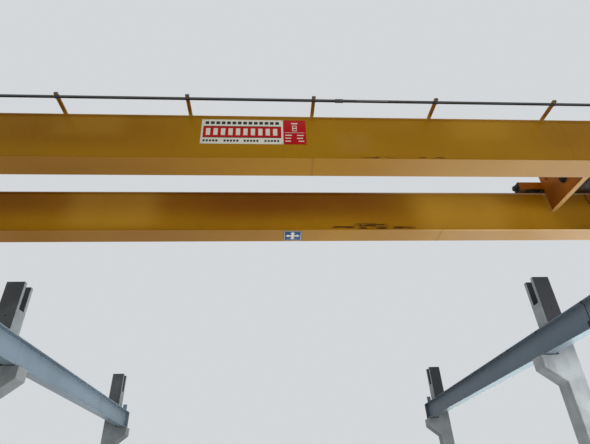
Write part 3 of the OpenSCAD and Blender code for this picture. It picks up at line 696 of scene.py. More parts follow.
def plainObject(name, bm):
    bmesh.ops.recalc_face_normals(bm, faces=bm.faces[:])
    mesh = bpy.data.meshes.new(name)
    bm.to_mesh(mesh)
    bm.free()
    return newObject(name, mesh)


def bevelEdges(obj, width, limit=bevelLimit, profile=0.5):
    edge = obj.modifiers.new("edges", "BEVEL")
    edge.width, edge.segments, edge.profile = width, bevelSegments, profile
    edge.limit_method, edge.angle_limit = "ANGLE", math.radians(limit)
    bakeModifiers(obj)


# The last steps of every piece: its shading, its body and the node that it stands for
def settle(obj, body, replaced, angle):
    obj.data.polygons.foreach_set("use_smooth", [True] * len(obj.data.polygons))
    obj.data.set_sharp_from_angle(angle=math.radians(angle))
    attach(obj, body)
    if replaced:
        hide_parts(replaced)


def finishPiece(name, bm, finishes, body, replaced=None, bevel=0.0, angle=35):
    finishes = [finishes] if isinstance(finishes, str) else finishes
    obj = plainObject(name, bm)
    for finish in finishes:
        obj.data.materials.append(materials[finish])
    if bevel:
        bevelEdges(obj, bevel)
    settle(obj, body, replaced, angle)


# Geometry Nodes: one tree for each thing that repeats
def newGrower(name, inputs):
    inputs = {"Geometry": "Geometry", **inputs, "Finish": "Material"}
    return newTree(name, "GeometryNodeTree", inputs, {"Geometry": "Geometry"})


def closeGrower(tree, given, out, grown):
    plain = got(tree, "GeometryNodeRealizeInstances", {0: grown})
    done = got(tree, "GeometryNodeSetMaterial", {"Geometry": plain, "Material": given["Finish"]})
    tree.links.new(done, out["Geometry"])
    return tree


def spaced(tree, x=0.0, y=0.0, z=0.0):
    return got(tree, "ShaderNodeCombineXYZ", {0: x, 1: y, 2: z})


# A shape of this depth about the origin, lifted to stand on the height base
def lifted(tree, shape, depth, base):
    lift = plus(tree, base, times(tree, depth, 0.5))
    return got(tree, "GeometryNodeTransform", {"Geometry": shape, "Translation": spaced(tree, z=lift)})


# A round or many-sided bar that stands on the height base
def stubOf(tree, sides, radius, depth, base):
    bar = got(tree, "GeometryNodeMeshCylinder", {"Vertices": sides, "Radius": radius, "Depth": depth}, "Mesh")
    return lifted(tree, bar, depth, base)


def copied(tree, points, shape, turn=None):
    inputs = {"Points": points, "Instance": shape}
    return got(tree, "GeometryNodeInstanceOnPoints", {**inputs, "Rotation": turn} if turn else inputs)


def aimedCopies(tree, points, shape):
    aim = got(tree, "GeometryNodeInputNamedAttribute", {"Name": "aim"}, "Attribute", data_type="FLOAT_VECTOR")
    return copied(tree, points, shape, got(tree, "FunctionNodeAlignRotationToVector", {"Vector": aim}, axis="Z"))


def makeBoltTree():
    tree, given, out = newGrower("hexBolts", {
        "Head Width": 0.03, "Head Height": 0.012, "Washer Width": 0.036, "Washer Height": 0.003,
        "Stub Length": 0.006, "Spin Seed": 4,
    })
    washerHeight, headRadius = given["Washer Height"], times(tree, given["Head Width"], 0.5)
    join = tree.nodes.new("GeometryNodeJoinGeometry")
    for part in (
        stubOf(tree, 16, times(tree, given["Washer Width"], 0.5), washerHeight, 0.0),
        stubOf(tree, 6, headRadius, given["Head Height"], washerHeight),
        stubOf(tree, 10, times(tree, headRadius, 0.52), given["Stub Length"],
               plus(tree, washerHeight, given["Head Height"])),
    ):
        tree.links.new(part, join.inputs[0])
    bolts = aimedCopies(tree, given["Geometry"], join.outputs[0])
    spin = got(tree, "FunctionNodeRandomValue", {2: 0.0, 3: 6.28, "Seed": given["Spin Seed"]}, 1, data_type="FLOAT")
    bolts = got(tree, "GeometryNodeRotateInstances", {"Instances": bolts, "Rotation": spaced(tree, z=spin)})
    return closeGrower(tree, given, out, bolts)


# Upright fins in a ring around each point, along its aim
def makeFinTree():
    tree, given, out = newGrower("coolingFins", {
        "Fin Count": 28, "Ring Radius": 0.1, "Fin Height": 0.02, "Fin Thickness": 0.004, "Fin Length": 0.2,
        "Fin Start": 0.03,
    })
    middle = plus(tree, given["Ring Radius"], times(tree, given["Fin Height"], 0.5))
    ring = got(tree, "GeometryNodeMeshCircle", {"Vertices": given["Fin Count"], "Radius": middle})
    size = spaced(tree, given["Fin Height"], given["Fin Thickness"], given["Fin Length"])
    fin = got(tree, "GeometryNodeMeshCube", {"Size": size}, "Mesh")
    where = got(tree, "GeometryNodeInputPosition")
    turn = got(tree, "FunctionNodeAlignRotationToVector", {"Vector": where}, axis="X", pivot_axis="Z")
    fins = lifted(tree, copied(tree, ring, fin, turn), given["Fin Length"], given["Fin Start"])
    fins = got(tree, "GeometryNodeRealizeInstances", {0: fins})
    return closeGrower(tree, given, out, aimedCopies(tree, given["Geometry"], fins))


# Short weld beads at even steps along the lines of the mesh
def makeStitchTree():
    tree, given, out = newGrower("stitchWelds", {"Step": 0.3, "Bead Length": 0.08, "Bead Width": 0.012})
    line = got(tree, "GeometryNodeMeshToCurve", {"Mesh": given["Geometry"]})
    dots = put(tree, "GeometryNodeCurveToPoints", {"Curve": line, "Length": given["Step"]}, mode="LENGTH").outputs
    bead = got(tree, "GeometryNodeMeshCylinder", {
        "Vertices": 8, "Side Segments": 3, "Radius": times(tree, given["Bead Width"], 0.5),
        "Depth": given["Bead Length"],
    }, "Mesh")
    return closeGrower(tree, given, out, copied(tree, dots["Points"], bead, dots["Rotation"]))


# Stranded wire rope along the lines of the mesh
def makeRopeTree():
    tree, given, out = newGrower("strandedRope", {
        "Rope Radius": 0.0065, "Strands": 6, "Lay Length": 0.09, "Step": 0.014,
    })
    line = got(tree, "GeometryNodeMeshToCurve", {"Mesh": given["Geometry"]})
    line = got(tree, "GeometryNodeResampleCurve", {"Curve": line, "Length": given["Step"]}, mode="LENGTH")
    along = got(tree, "GeometryNodeSplineParameter", output="Length")
    turns = times(tree, calc(tree, "DIVIDE", along, given["Lay Length"]), 2 * math.pi)
    line = got(tree, "GeometryNodeSetCurveTilt", {0: line, "Tilt": turns})
    spread, thick = times(tree, given["Rope Radius"], 0.64), times(tree, given["Rope Radius"], 0.36)
    ring = got(tree, "GeometryNodeMeshCircle", {"Vertices": given["Strands"], "Radius": spread})
    strand = got(tree, "GeometryNodeCurvePrimitiveCircle", {"Resolution": 6, "Radius": thick})
    strands = got(tree, "GeometryNodeRealizeInstances", {0: copied(tree, ring, strand)})
    inputs = {"Curve": line, "Profile Curve": strands, "Fill Caps": True}
    return closeGrower(tree, given, out, got(tree, "GeometryNodeCurveToMesh", inputs))


# Turns of rope side by side, from each point in the direction of its aim
def makeCoilTree():
    tree, given, out = newGrower("drumTurns", {
        "Turns": 20.0, "Pitch": 0.016, "Coil Radius": 0.2165, "Rope Radius": 0.0065,
    })
    spiral = got(tree, "GeometryNodeCurveSpiral", {
        "Resolution": 44, "Rotations": given["Turns"], "Start Radius": given["Coil Radius"],
        "End Radius": given["Coil Radius"], "Height": times(tree, given["Turns"], given["Pitch"]),
    })
    section = got(tree, "GeometryNodeCurvePrimitiveCircle", {"Resolution": 8, "Radius": given["Rope Radius"]})
    inputs = {"Curve": spiral, "Profile Curve": section, "Fill Caps": True}
    coil = got(tree, "GeometryNodeCurveToMesh", inputs)
    return closeGrower(tree, given, out, aimedCopies(tree, given["Geometry"], coil))


growers = {
    "bolts": makeBoltTree(), "fins": makeFinTree(), "stitches": makeStitchTree(), "rope": makeRopeTree(),
    "coil": makeCoilTree(),
}
print("growers", len(growers))


# Runs one tree on points with an aim, or on lines, and keeps the result as a plain mesh
def grow(name, kind, body, sizes, finish, spots=(), lines=(), replaced=None, angle=35):
    points, edges = [place for place, aim in spots], []
    for line in lines:
        edges += [(len(points) + i, len(points) + i + 1) for i in range(len(line) - 1)]
        points += [tuple(point) for point in line]
    mesh = bpy.data.meshes.new(name)
    mesh.from_pydata(points, edges, [])
    if spots:
        aims = mesh.attributes.new("aim", "FLOAT_VECTOR", "POINT")
        aims.data.foreach_set("vector", [value for place, aim in spots for value in aim])
    obj = newObject(name, mesh)
    modifier = obj.modifiers.new("grow", "NODES")
    modifier.node_group = growers[kind]
    sockets = {item.name: item.identifier for item in growers[kind].interface.items_tree if item.in_out == "INPUT"}
    for label, value in sizes.items():
        modifier[sockets[label]] = value
    modifier[sockets["Finish"]] = materials[finish]
    bakeModifiers(obj)
    settle(obj, body, replaced, angle)


# Bolts: pieces ask for them as they are made, and each size becomes one mesh for each body
boltMeasures = ("Head Width", "Head Height", "Washer Width", "Washer Height", "Stub Length")
boltSizes = {
    "anchor": (0.055, 0.022, 0.075, 0.006, 0.035),
    "frame": (0.040, 0.015, 0.050, 0.005, 0.012),
    "machine": (0.024, 0.010, 0.030, 0.003, 0.004),
    "cover": (0.015, 0.006, 0.019, 0.002, 0.002),
    "rivet": (0.010, 0.003, 0.012, 0.001, 0.0),
}
boltSpots = {}


# A bolt at each place that the numbers and rows of numbers in xs, ys and zs make together
def boltAt(size, body, aim, xs, ys, zs):
    rows = [row if isinstance(row, (tuple, list)) else (row,) for row in (xs, ys, zs)]
    boltSpots.setdefault((size, body), []).extend((place, aim) for place in product(*rows))


def boltRing(size, body, centre, aim, radius, count, turn=0.0):
    over = Vector(aim).cross(Vector((0, 0, 1)))
    for i in range(count):
        angle = turn + i * 2 * math.pi / count
        spot = Vector(centre) + radius * (Vector((0, 0, 1)) * math.cos(angle) + over * math.sin(angle))
        boltAt(size, body, aim, *spot)


def makeBolts():
    for (size, body), spots in sorted(boltSpots.items()):
        name = "%s%sBolts" % (body, size.title())
        grow(name, "bolts", body, dict(zip(boltMeasures, boltSizes[size])), "boltZinc", spots, angle=30)


# Columns: chamfered precast concrete, each in the place of its CAD node
columnLook = {
    "forkSeat": 7.29, "forkSlot": 0.30, "holeHeight": 7.03, "holeRadius": 0.035, "corbelEnd": 0.38,
    "corbelSlope": 0.48, "chamfer": 0.018, "chamferProfile": 0.4, "chamferLimit": 30,
    "sunk": 0.10,                     # made this much too long, then cut level with the ground
}


# Takes a prism along an axis out of obj
def cutAway(obj, outline, axis, start, end):
    bm = bmesh.new()
    addPrism(bm, outline, axis, start, end)
    cutter = plainObject("cutter", bm)
    hole = obj.modifiers.new("hole", "BOOLEAN")
    hole.object, hole.solver = cutter, "EXACT"
    bakeModifiers(obj)
    bpy.data.objects.remove(cutter)


def makeColumns():
    look = columnLook
    low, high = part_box("column_right_2")
    half = high.y
    inner = high.x - 2 * half
    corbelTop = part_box("bearing_plates")[0].z
    corbelLow = corbelTop - look["corbelEnd"]
    outline = [
        (high.x, -look["sunk"]), (high.x, high.z), (inner, high.z), (inner, corbelTop), (low.x, corbelTop),
        (low.x, corbelLow), (inner, corbelLow - look["corbelSlope"]), (inner, -look["sunk"]),
    ]
    bm = bmesh.new()
    addPrism(bm, outline, "y", -half, half)
    column = plainObject("columnShape", bm)
    slot, top = look["forkSlot"] / 2, high.z + 1
    cutAway(column, [(-slot, look["forkSeat"]), (slot, look["forkSeat"]), (slot, top), (-slot, top)], "x",
            inner - 1, high.x + 1)
    bevelEdges(column, look["chamfer"], look["chamferLimit"], look["chamferProfile"])
    cutAway(column, arc((high.x + inner) / 2, look["holeHeight"], look["holeRadius"], 0, 345, 23), "y", -1, 1)
    shape = column.data
    bpy.data.objects.remove(column)
    for side, row in product((-1, 1), (1, 2, 3)):
        sideName = "left" if side < 0 else "right"
        node = "column_%s_%d" % (sideName, row)
        bm = bmesh.new()
        bm.from_mesh(shape)
        everything = bm.verts[:] + bm.edges[:] + bm.faces[:]
        cut = bmesh.ops.bisect_plane(bm, geom=everything, plane_co=(0, 0, 0), plane_no=(0, 0, 1), clear_inner=True)
        rim = [item for item in cut["geom_cut"] if isinstance(item, bmesh.types.BMEdge)]
        bmesh.ops.contextual_create(bm, geom=rim)
        place = Matrix.Translation((0, middleOf(node)[1], 0)) @ Matrix.Diagonal((side, 1, 1, 1))
        bmesh.ops.transform(bm, matrix=place, verts=bm.verts[:])
        finishPiece("column%s%d" % (sideName.title(), row), bm, "concrete", "structure", node, angle=25)


makeColumns()
print("columns")


# Runway: rails with their stitch welds, anchor bolts, wall ties and stops
railGap, weldInset = 0.002, 0.1
runwayLook = {
    "railChamfer": 0.006, "railJoints": (-6.0, 0.0, 6.0),
    "welds": {"Step": 0.45, "Bead Length": 0.10, "Bead Width": 0.014},
    "flangeHalf": 0.18, "flangeThickness": 0.024, "webHalf": 0.007,
    "anchorOut": 0.125,               # anchor bolts beside the web
    "anchorSteps": (0.09, 0.19),      # and along the beam from the column axis
    "cleatHalf": 0.08, "cleatHeight": 0.15, "cleatThickness": 0.010, "tieBoltIn": 0.04,
    "stopBolts": (0.07, (0.06, 0.22)),    # beside the rail, and back from the stop's face
    "stopPlate": 0.02,
}
# Clips along the right beam, and the lead that drops from one of them to a box on the web
clipLook = {
    "places": (-10.4, -7.84, -5.29, -2.74, -0.20, 1.91, 2.42, 5.00, 7.50, 10.05), "radius": 0.020,
    "length": 0.055, "lead": -2.62, "leadRadius": 0.007, "leadDrops": (6.0, 5.85, 5.72),
    "saddles": (6.15, 5.95, 5.78), "boxHeight": 0.16, "boxDepth": 0.075,
}


# Chamfered bars end to end in place of a rail's node; gives the lines of their welds
def makeRail(name, node, body, axis, joints, chamfer):
    low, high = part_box(node)
    across, along = (0, 1) if axis == "y" else (1, 0)
    middle, half, top = middleOf(node)[across], (high[across] - low[across]) / 2, high.z
    outline = [
        (middle - half, low.z), (middle + half, low.z), (middle + half, top - chamfer),
        (middle + half - chamfer, top), (middle - half + chamfer, top), (middle - half, top - chamfer),
    ]
    stops = [low[along], *joints, high[along]]
    bm = bmesh.new()
    for start, end in zip(stops, stops[1:]):
        addPrism(bm, outline, axis, start + railGap / 2, end - railGap / 2)
    finishPiece(name, bm, "railSteel", body, node)
    ends = low[along] + weldInset, high[along] - weldInset
    return [[toAxis[axis](side, low.z, end) for end in ends] for side in (low[across], high[across])]


def makeRunway():
    look = runwayLook
    seams = []
    for name, node in (("runwayRailLeft", "rail_left"), ("runwayRailRight", "rail_right")):
        seams += makeRail(name, node, "structure", "y", look["railJoints"], look["railChamfer"])
    grow("railWelds", "stitches", "structure", look["welds"], "railSteel", lines=seams)

    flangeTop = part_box("runway_beam_right_1")[0].z + look["flangeThickness"]
    cleats = bmesh.new()
    tieLow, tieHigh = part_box("runway_ties")
    anchorX, anchorSteps = look["anchorOut"], [way * step for step in look["anchorSteps"] for way in (-1, 1)]
    boltX, boltBack = look["stopBolts"]
    for side in (-1, 1):
        for row in (1, 2, 3):
            rowY = middleOf("column_right_%d" % row)[1]
            boltAt("anchor", "structure", (0, 0, 1), around(side * railX, anchorX),
                   [rowY + step for step in anchorSteps], flangeTop)
            # A cleat under each tie, anchored to the column
            face, half = tieHigh.x - look["cleatThickness"], look["cleatHalf"]
            addBlock(cleats, (side * face, side * tieHigh.x), around(rowY, half),
                     (tieLow.z - look["cleatHeight"], tieLow.z))
            for way in (-1, 1):
                boltAt("machine", "structure", (-side, 0, 0), side * face, rowY + way * half * 0.6,
                       tieLow.z - look["cleatHeight"] * 0.6)
                boltAt("machine", "structure", (0, 0, 1), side * (tieHigh.x - look["tieBoltIn"]),
                       rowY + way * half * 0.5, runwayTop)
        for end in (-1, 1):
            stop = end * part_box("end_stops")[1].y
            boltAt("frame", "structure", (0, 0, 1), around(side * railX, boltX),
                   [stop - end * back for back in boltBack], runwayTop + look["stopPlate"])
    finishPiece("tieCleats", cleats, "zinc", "structure", bevel=0.002)


def makeRunwayCable():
    look = clipLook
    edge, web = railX - runwayLook["flangeHalf"], railX - runwayLook["webHalf"]
    flangeLow = runwayTop - runwayLook["flangeThickness"]
    radius, half = look["radius"], look["length"] / 2
    bm = bmesh.new()
    for place in look["places"]:
        addBlock(bm, (edge - 0.008, edge), around(place, 0.02), (flangeLow - 0.03, runwayTop - 0.001))
        addTurned(bm, (edge + 0.004, place, flangeLow - 0.018), (0, 1, 0), [
            (-half, 0), (-half, radius * 0.8), (0.006 - half, radius), (half - 0.006, radius), (half, radius * 0.8),
            (half, 0),
        ], 14)
    finishPiece("runwayClips", bm, "stripeBlack", "structure", bevel=0.0015)
    drop, radius = look["lead"], look["leadRadius"]
    skinX = web - radius - 0.001
    path = [
        (edge + 0.004, drop - 0.10, flangeLow - 0.018), (edge + 0.02, drop - 0.07, flangeLow - 0.012),
        (edge + 0.07, drop - 0.03, flangeLow - 0.010), (skinX - 0.05, drop - 0.005, flangeLow - 0.010),
        (skinX - 0.015, drop, flangeLow - 0.022), (skinX, drop, flangeLow - 0.06),
    ]
    path += [(skinX, drop + sway, z) for sway, z in zip((0.004, -0.003, 0), look["leadDrops"])]
    bm = bmesh.new()
    addSweep(bm, path, radius, 8)
    for z in look["saddles"]:
        addBlock(bm, (skinX - radius - 0.003, web), around(drop, 0.016), around(z, 0.008))
    boxTop = look["leadDrops"][-1]
    addBlock(bm, (web - look["boxDepth"], web), around(drop, 0.06), (boxTop - look["boxHeight"], boxTop))
    finishPiece("runwayCable", bm, "stripeBlack", "structure", bevel=0.002)


makeRunway()
makeRunwayCable()
print("runway")


# Bridge: welds and end bolts of the two box girders
girderLook = {
    "webHalf": 0.18, "flangeHalf": 0.20, "flangeThickness": 0.012, "endHeight": 0.28,
    "straightHalf": 6.275,            # the lower flange rises from here to the ends
    "endPlateInner": 8.255, "boltSide": 0.245, "boltDrops": (0.255, 0.155, 0.055),
    "beadRadius": 0.006, "buttHalf": 0.007, "webProud": 0.0015, "flangeProud": 0.0035,
}
# Axis, then the butt welds of the webs and of the lower flange
girders = {"near": (nearY, (-4.05, 3.95), (-0.012,)), "far": (farY, (-3.62, 0.417, 1.446, 4.30), (2.55,))}


def lowerEdge(x):
    look = girderLook
    share = max(0.0, abs(x) - look["straightHalf"]) / (girderEnd - look["straightHalf"])
    return girderBottom + share * (girderTop - look["endHeight"] - girderBottom)


def makeGirderWelds():
    look = girderLook
    thick, half, end = look["flangeThickness"], look["buttHalf"], look["endPlateInner"]
    bends = (-end, -look["straightHalf"], look["straightHalf"], end)
    for name, (axisY, webButts, flangeButts) in girders.items():
        bm = bmesh.new()
        for way in (-1, 1):
            face = axisY + way * look["webHalf"]
            addSweep(bm, [(x, face, lowerEdge(x) + thick) for x in bends], look["beadRadius"], 6)
            addSweep(bm, [(x, face, girderTop - thick) for x in (-end, end)], look["beadRadius"], 6)
            for x in webButts:
                addBlock(bm, around(x, half), (face, face + way * look["webProud"]),
                         (girderBottom + thick, girderTop - thick))
        for x in flangeButts:
            addBlock(bm, around(x, half), around(axisY, look["flangeHalf"]),
                     (girderBottom - look["flangeProud"], girderBottom))
        finishPiece(name + "GirderWelds", bm, "cranePaint", "bridge")
        for side in (-1, 1):
            boltAt("machine", "bridge", (-side, 0, 0), side * end, around(axisY, look["boltSide"]),
                   [girderTop - drop for drop in look["boltDrops"]])


# Trolley rails on the girders, with stitch welds, and the bolts of the stops at their ends
trolleyRailLook = {
    "chamfer": 0.005, "joints": (-2.9, 3.1), "welds": {"Step": 0.4, "Bead Length": 0.08, "Bead Width": 0.011},
    "stopBolts": (0.045, (0.02, 0.12)), "stopPlate": 0.016,
}


def makeTrolleyRails():
    look = trolleyRailLook
    seams = []
    for name, node in (("TrolleyRailNear", "trolley_rail_near"), ("TrolleyRailFar", "trolley_rail_far")):
        seams += makeRail(name, node, "bridge", "x", look["joints"], look["chamfer"])
    grow("trolleyRailWelds", "stitches", "bridge", look["welds"], "cranePaint", lines=seams)
    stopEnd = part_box("trolley_stops")[1].x
    out, backs = look["stopBolts"]
    for side, y in product((-1, 1), (*around(nearRailY, out), *around(farRailY, out))):
        boltAt("cover", "bridge", (0, 0, 1), [side * (stopEnd - back) for back in backs], y,
               girderTop + look["stopPlate"])


# Conduit on the far girder, under the overhang of its top flange
conduitLook = {
    "radius": 0.006,
    "stand": 0.0072,                  # from the web to the conduit's axis
    "bends": ((5.600, 6.619), (5.604, 6.50), (5.618, 6.40), (5.640, 6.375), (5.70, 6.365), (6.60, 6.365),
              (7.50, 6.365)),
    "clips": (5.82, 6.20, 6.58, 6.96, 7.34), "boxDepth": 0.018,
}


def makeConduit():
    look = conduitLook
    face = farY - girderLook["webHalf"]
    bm = bmesh.new()
    addSweep(bm, [(x, face - look["stand"], z) for x, z in look["bends"]], look["radius"], 10)
    finishPiece("farConduit", bm, "rubber", "bridge")
    bm = bmesh.new()
    endX, endZ = look["bends"][-1]
    addBlock(bm, (endX - 0.01, endX + 0.13), (face - look["boxDepth"], face + 0.002), (endZ - 0.06, endZ + 0.05))
    for x in look["clips"]:
        addBlock(bm, around(x, 0.009), (face - look["stand"] - 0.008, face + 0.001), around(endZ, 0.009))
        addBlock(bm, around(x, 0.009), (face - 0.003, face + 0.001), (endZ + 0.008, endZ + 0.026))
    finishPiece("conduitFittings", bm, "zinc", "bridge", bevel=0.0015)


# Festoon track: clamps over the arms, a splice sleeve, end caps and a cover strip
trackLook = {
    "armStep": 1.84,
    "armCount": 4,                    # arms on each side of the middle one
    "clampHalf": 0.022, "strapHalf": 0.027, "strap": 0.006, "splice": (0.315, 0.434), "cover": (0.63, 1.11),
    "stud": ((0, 0.016), (0.012, 0.016), (0.014, 0.009), (0.016, 0.008)),
}


def makeTrack():
    look = trackLook
    low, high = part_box("festoon_track")
    middle = middleOf("festoon_track")
    armEnd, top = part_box("festoon_arms")[0].y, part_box("festoon_arms")[1].z
    lid = top + look["strap"]
    bm = bmesh.new()
    for i in range(-look["armCount"], look["armCount"] + 1):
        x = i * look["armStep"]
        for y in (low.y, high.y):
            addBlock(bm, around(x, look["clampHalf"]), around(y, 0.004), (low.z - 0.004, lid))
        addBlock(bm, around(x, look["strapHalf"]), (armEnd - 0.004, high.y + 0.006), (top, lid))
        addBlock(bm, around(x, look["strapHalf"]), (armEnd - 0.006, armEnd + 0.001), (top - 0.030, lid))
        addTurned(bm, (x, middle[1], top + 0.008), (0, 0, 1), look["stud"], 10)
    finishPiece("trackClamps", bm, "trackSteel", "bridge", bevel=0.0012)
    bm = bmesh.new()
    start, end = look["splice"]
    addBlock(bm, (start, end), (low.y - 0.006, high.y + 0.006), (low.z - 0.005, high.z + 0.005))
    for side in (-1, 1):
        addBlock(bm, (side * high.x, side * (high.x + 0.012)), (low.y - 0.004, high.y + 0.004),
                 (low.z - 0.004, high.z + 0.004))
    finishPiece("trackSleeve", bm, "trackSteel", "bridge", bevel=0.002)
    boltAt("cover", "bridge", (0, -1, 0), (start + 0.03, end - 0.03), low.y - 0.006, middle[2])
    bm = bmesh.new()
    addBlock(bm, look["cover"], (low.y - 0.003, low.y + 0.001), (low.z + 0.002, high.z - 0.001))
    finishPiece("trackCover", bm, "boltZinc", "bridge", bevel=0.001)


# Boards: enamel plates with plain printed bars and rivets
printProud, printRoot = 0.0006, 0.0002
# Rows of bars: finish, layer, low, high, then starts, each bar's width, all as shares of the board
nameRows = [
    ("enamelDark", 1, 0.800, 0.915, [0.045 + 0.066 * i for i in range(14)], 0.046),
    ("enamelDark", 1, 0.245, 0.725, [0.025], 0.95),
    ("enamelRed", 2, 0.268, 0.702, [0.025], 0.95),
    ("enamelWhite", 3, 0.345, 0.625, [0.060 + 0.0905 * i for i in range(10)], 0.052),
    ("enamelDark", 1, 0.085, 0.165, [start + 0.038 * i for start in (0.03, 0.28, 0.52, 0.77) for i in range(5)],
     0.026),
]
loadRows = [
    ("enamelWhite", 1, 0.835, 0.885, [0.36], 0.28),
    ("enamelWhite", 1, 0.54, 0.77, [0.40], 0.20),
    ("enamelRed", 2, 0.565, 0.745, [0.43], 0.14),
    ("enamelWhite", 3, 0.635, 0.675, [0.40], 0.20),
    ("enamelWhite", 1, 0.465, 0.480, [0.06], 0.88),
    ("enamelWhite", 1, 0.345, 0.385, [0.08, 0.60], 0.30),
    ("enamelWhite", 1, 0.225, 0.265, [0.08, 0.60], 0.26),
    ("enamelWhite", 1, 0.105, 0.145, [0.08, 0.66], 0.24),
]


def makeBoard(name, node, base, rows):
    low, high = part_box(node)
    width, height = high.x - low.x, high.z - low.z
    bm = bmesh.new()
    addBlock(bm, *zip(low, high))
    finishPiece(name, bm, base, "bridge", node, bevel=0.0015)
    finishes = sorted({row[0] for row in rows})
    bm = bmesh.new()
    for finish, layer, bottom, top, starts, share in rows:
        for start in starts:
            addBlock(bm, (low.x + start * width, low.x + (start + share) * width),
                     (low.y - printProud * layer, low.y + printRoot),
                     (low.z + bottom * height, low.z + top * height), finishes.index(finish))
    finishPiece(name + "Print", bm, finishes, "bridge")
    boltAt("rivet", "bridge", (0, -1, 0), (low.x + 0.02, high.x - 0.02), low.y, (low.z + 0.02, high.z - 0.02))


# Direction plate under the far girder: white border and a four-way arrow
plateLook = {
    "border": 0.008, "inset": 0.010, "shaft": 0.022, "reach": 0.132, "head": 0.048, "headLong": 0.056,
    "screwStep": 0.130, "screw": ((0, 0.009), (0.003, 0.009), (0.005, 0.006), (0.005, 0)),
}


def makeDirectionPlate():
    look = plateLook
    low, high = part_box("direction_plate")
    x, y = middleOf("direction_plate")[:2]
    printed = low.z - printProud, low.z + printRoot
    bm = bmesh.new()
    addBlock(bm, *zip(low, high))
    finishPiece("directionPlate", bm, "enamelBlue", "bridge", "direction_plate", bevel=0.0015)
    half = (high.x - low.x) / 2 - look["inset"]
    inner = half - look["border"]
    shaft, head, reach = look["shaft"], look["head"], look["reach"]
    neck = reach - look["headLong"]
    arrow = [(shaft, shaft), (neck, shaft), (neck, head), (reach, 0), (neck, -head), (neck, -shaft), (shaft, -shaft)]
    border = [(half, -half), (half, half), (inner, inner), (inner, -inner)]
    bm = bmesh.new()
    for quarter, outline in product(range(4), (arrow, border)):
        turned = Matrix.Rotation(quarter * math.pi / 2, 2)
        corners = [turned @ Vector(point) for point in outline]
        addPrism(bm, [(x + corner.x, y + corner.y) for corner in corners], "z", *printed)
    addBlock(bm, around(x, shaft), around(y, shaft), printed)
    finishPiece("directionArrows", bm, "enamelWhite", "bridge")
    bm = bmesh.new()
    for screwX, screwY in product(around(x, look["screwStep"]), around(y, look["screwStep"])):
        addTurned(bm, (screwX, screwY, low.z), (0, 0, -1), look["screw"], 12)
    finishPiece("plateScrews", bm, "stripeBlack", "bridge")


# Control cabinet on the far girder: two doors under a rain lid, hinges, handles, glands and a grille
cabinetLook = {
    "bevel": 0.006, "doorProud": 0.012, "doorRoot": 0.006, "doors": ((0.012, 0.497), (0.503, 0.988)),
    "hinges": (0.14, 0.5, 0.86), "handles": (0.46, 0.54), "glandSpan": 0.12, "glands": 7, "slots": 9,
    "slotStep": 0.014, "knob": ((0, 0.018), (0.006, 0.018), (0.008, 0.010), (0.016, 0.010)),
    "gland": ((0, 0.020), (0.010, 0.020), (0.010, 0.016), (0.024, 0.015), (0.030, 0.010)),
}


def makeCabinet():
    look = cabinetLook
    low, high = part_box("control_cabinet")
    width, height = high.x - low.x, high.z - low.z
    skinY = high.y - look["doorProud"]
    doorBack = skinY - look["doorRoot"]
    bm = bmesh.new()
    addBlock(bm, (low.x, high.x), (low.y, doorBack), (low.z, high.z))
    addBlock(bm, (low.x - 0.012, high.x + 0.012), (low.y + 0.02, skinY + 0.004), (high.z - 0.004, high.z + 0.010))
    for start, end in look["doors"]:
        addBlock(bm, (low.x + start * width, low.x + end * width), (doorBack, high.y),
                 (low.z + 0.012, high.z - 0.014))
    finishPiece("controlCabinet", bm, "cabinetPaint", "bridge", "control_cabinet", bevel=look["bevel"])
    bm = bmesh.new()
    for share, x in product(look["hinges"], (low.x + 0.008, high.x - 0.008)):
        addTurned(bm, (x, skinY + 0.004, low.z + share * height - 0.03), (0, 0, 1), [(0, 0.007), (0.06, 0.007)], 12)
    for share in look["handles"]:
        x, z = low.x + share * width, low.z + 0.5 * height
        addTurned(bm, (x, high.y, z), (0, 1, 0), look["knob"], 20)
        addBlock(bm, around(x, 0.006), (high.y + 0.014, high.y + 0.022), (z - 0.045, z + 0.012))
    finishPiece("cabinetFittings", bm, "zinc", "bridge", bevel=0.001)
    bm = bmesh.new()
    for i in range(look["glands"]):
        x = low.x + look["glandSpan"] + i * (width - 2 * look["glandSpan"]) / (look["glands"] - 1)
        addTurned(bm, (x, (low.y + skinY) / 2, low.z), (0, 0, -1), look["gland"], 6 if i % 2 else 12)
    # The grille's dark strips stand for the shade in its slots: painted shade
    for i in range(look["slots"]):
        z = low.z + 0.06 + i * look["slotStep"]
        addBlock(bm, (high.x - 0.30, high.x - 0.12), (high.y - 0.001, high.y + 0.002), (z, z + 0.006))
    finishPiece("cabinetGlands", bm, "stripeBlack", "bridge", bevel=0.001)


makeGirderWelds()
makeTrolleyRails()
makeConduit()
makeTrack()
makeBoard("nameBoard", "name_board", "enamelWhite", nameRows)
makeBoard("loadBoard", "capacity_board", "enamelRed", loadRows)
makeDirectionPlate()
makeCabinet()
print("girders")


# End carriages: turned wheels, bearing caps, buffers, rail sweeps and covers
wheelLooks = {
    "bridge": {"tread": 0.150, "flange": 0.1698, "halfTread": 0.031, "rim": 0.018, "hub": 0.050, "halfHub": 0.066,
               "axle": 0.030, "web": 0.020},
    "trolley": {"tread": 0.0848, "flange": 0.1048, "halfTread": 0.030, "rim": 0.015, "hub": 0.038,
                "halfHub": 0.056, "axle": 0.025, "web": 0.018},
}
carriageLook = {
    "capRadius": 0.085, "capProud": 0.022, "wheelStep": 1.4, "length": 1.76, "bufferHeight": 6.50,
    "buffer": (0.0598, 0.09), "lip": 0.012, "lidPlaces": (-0.62, 0.0, 0.62),
}


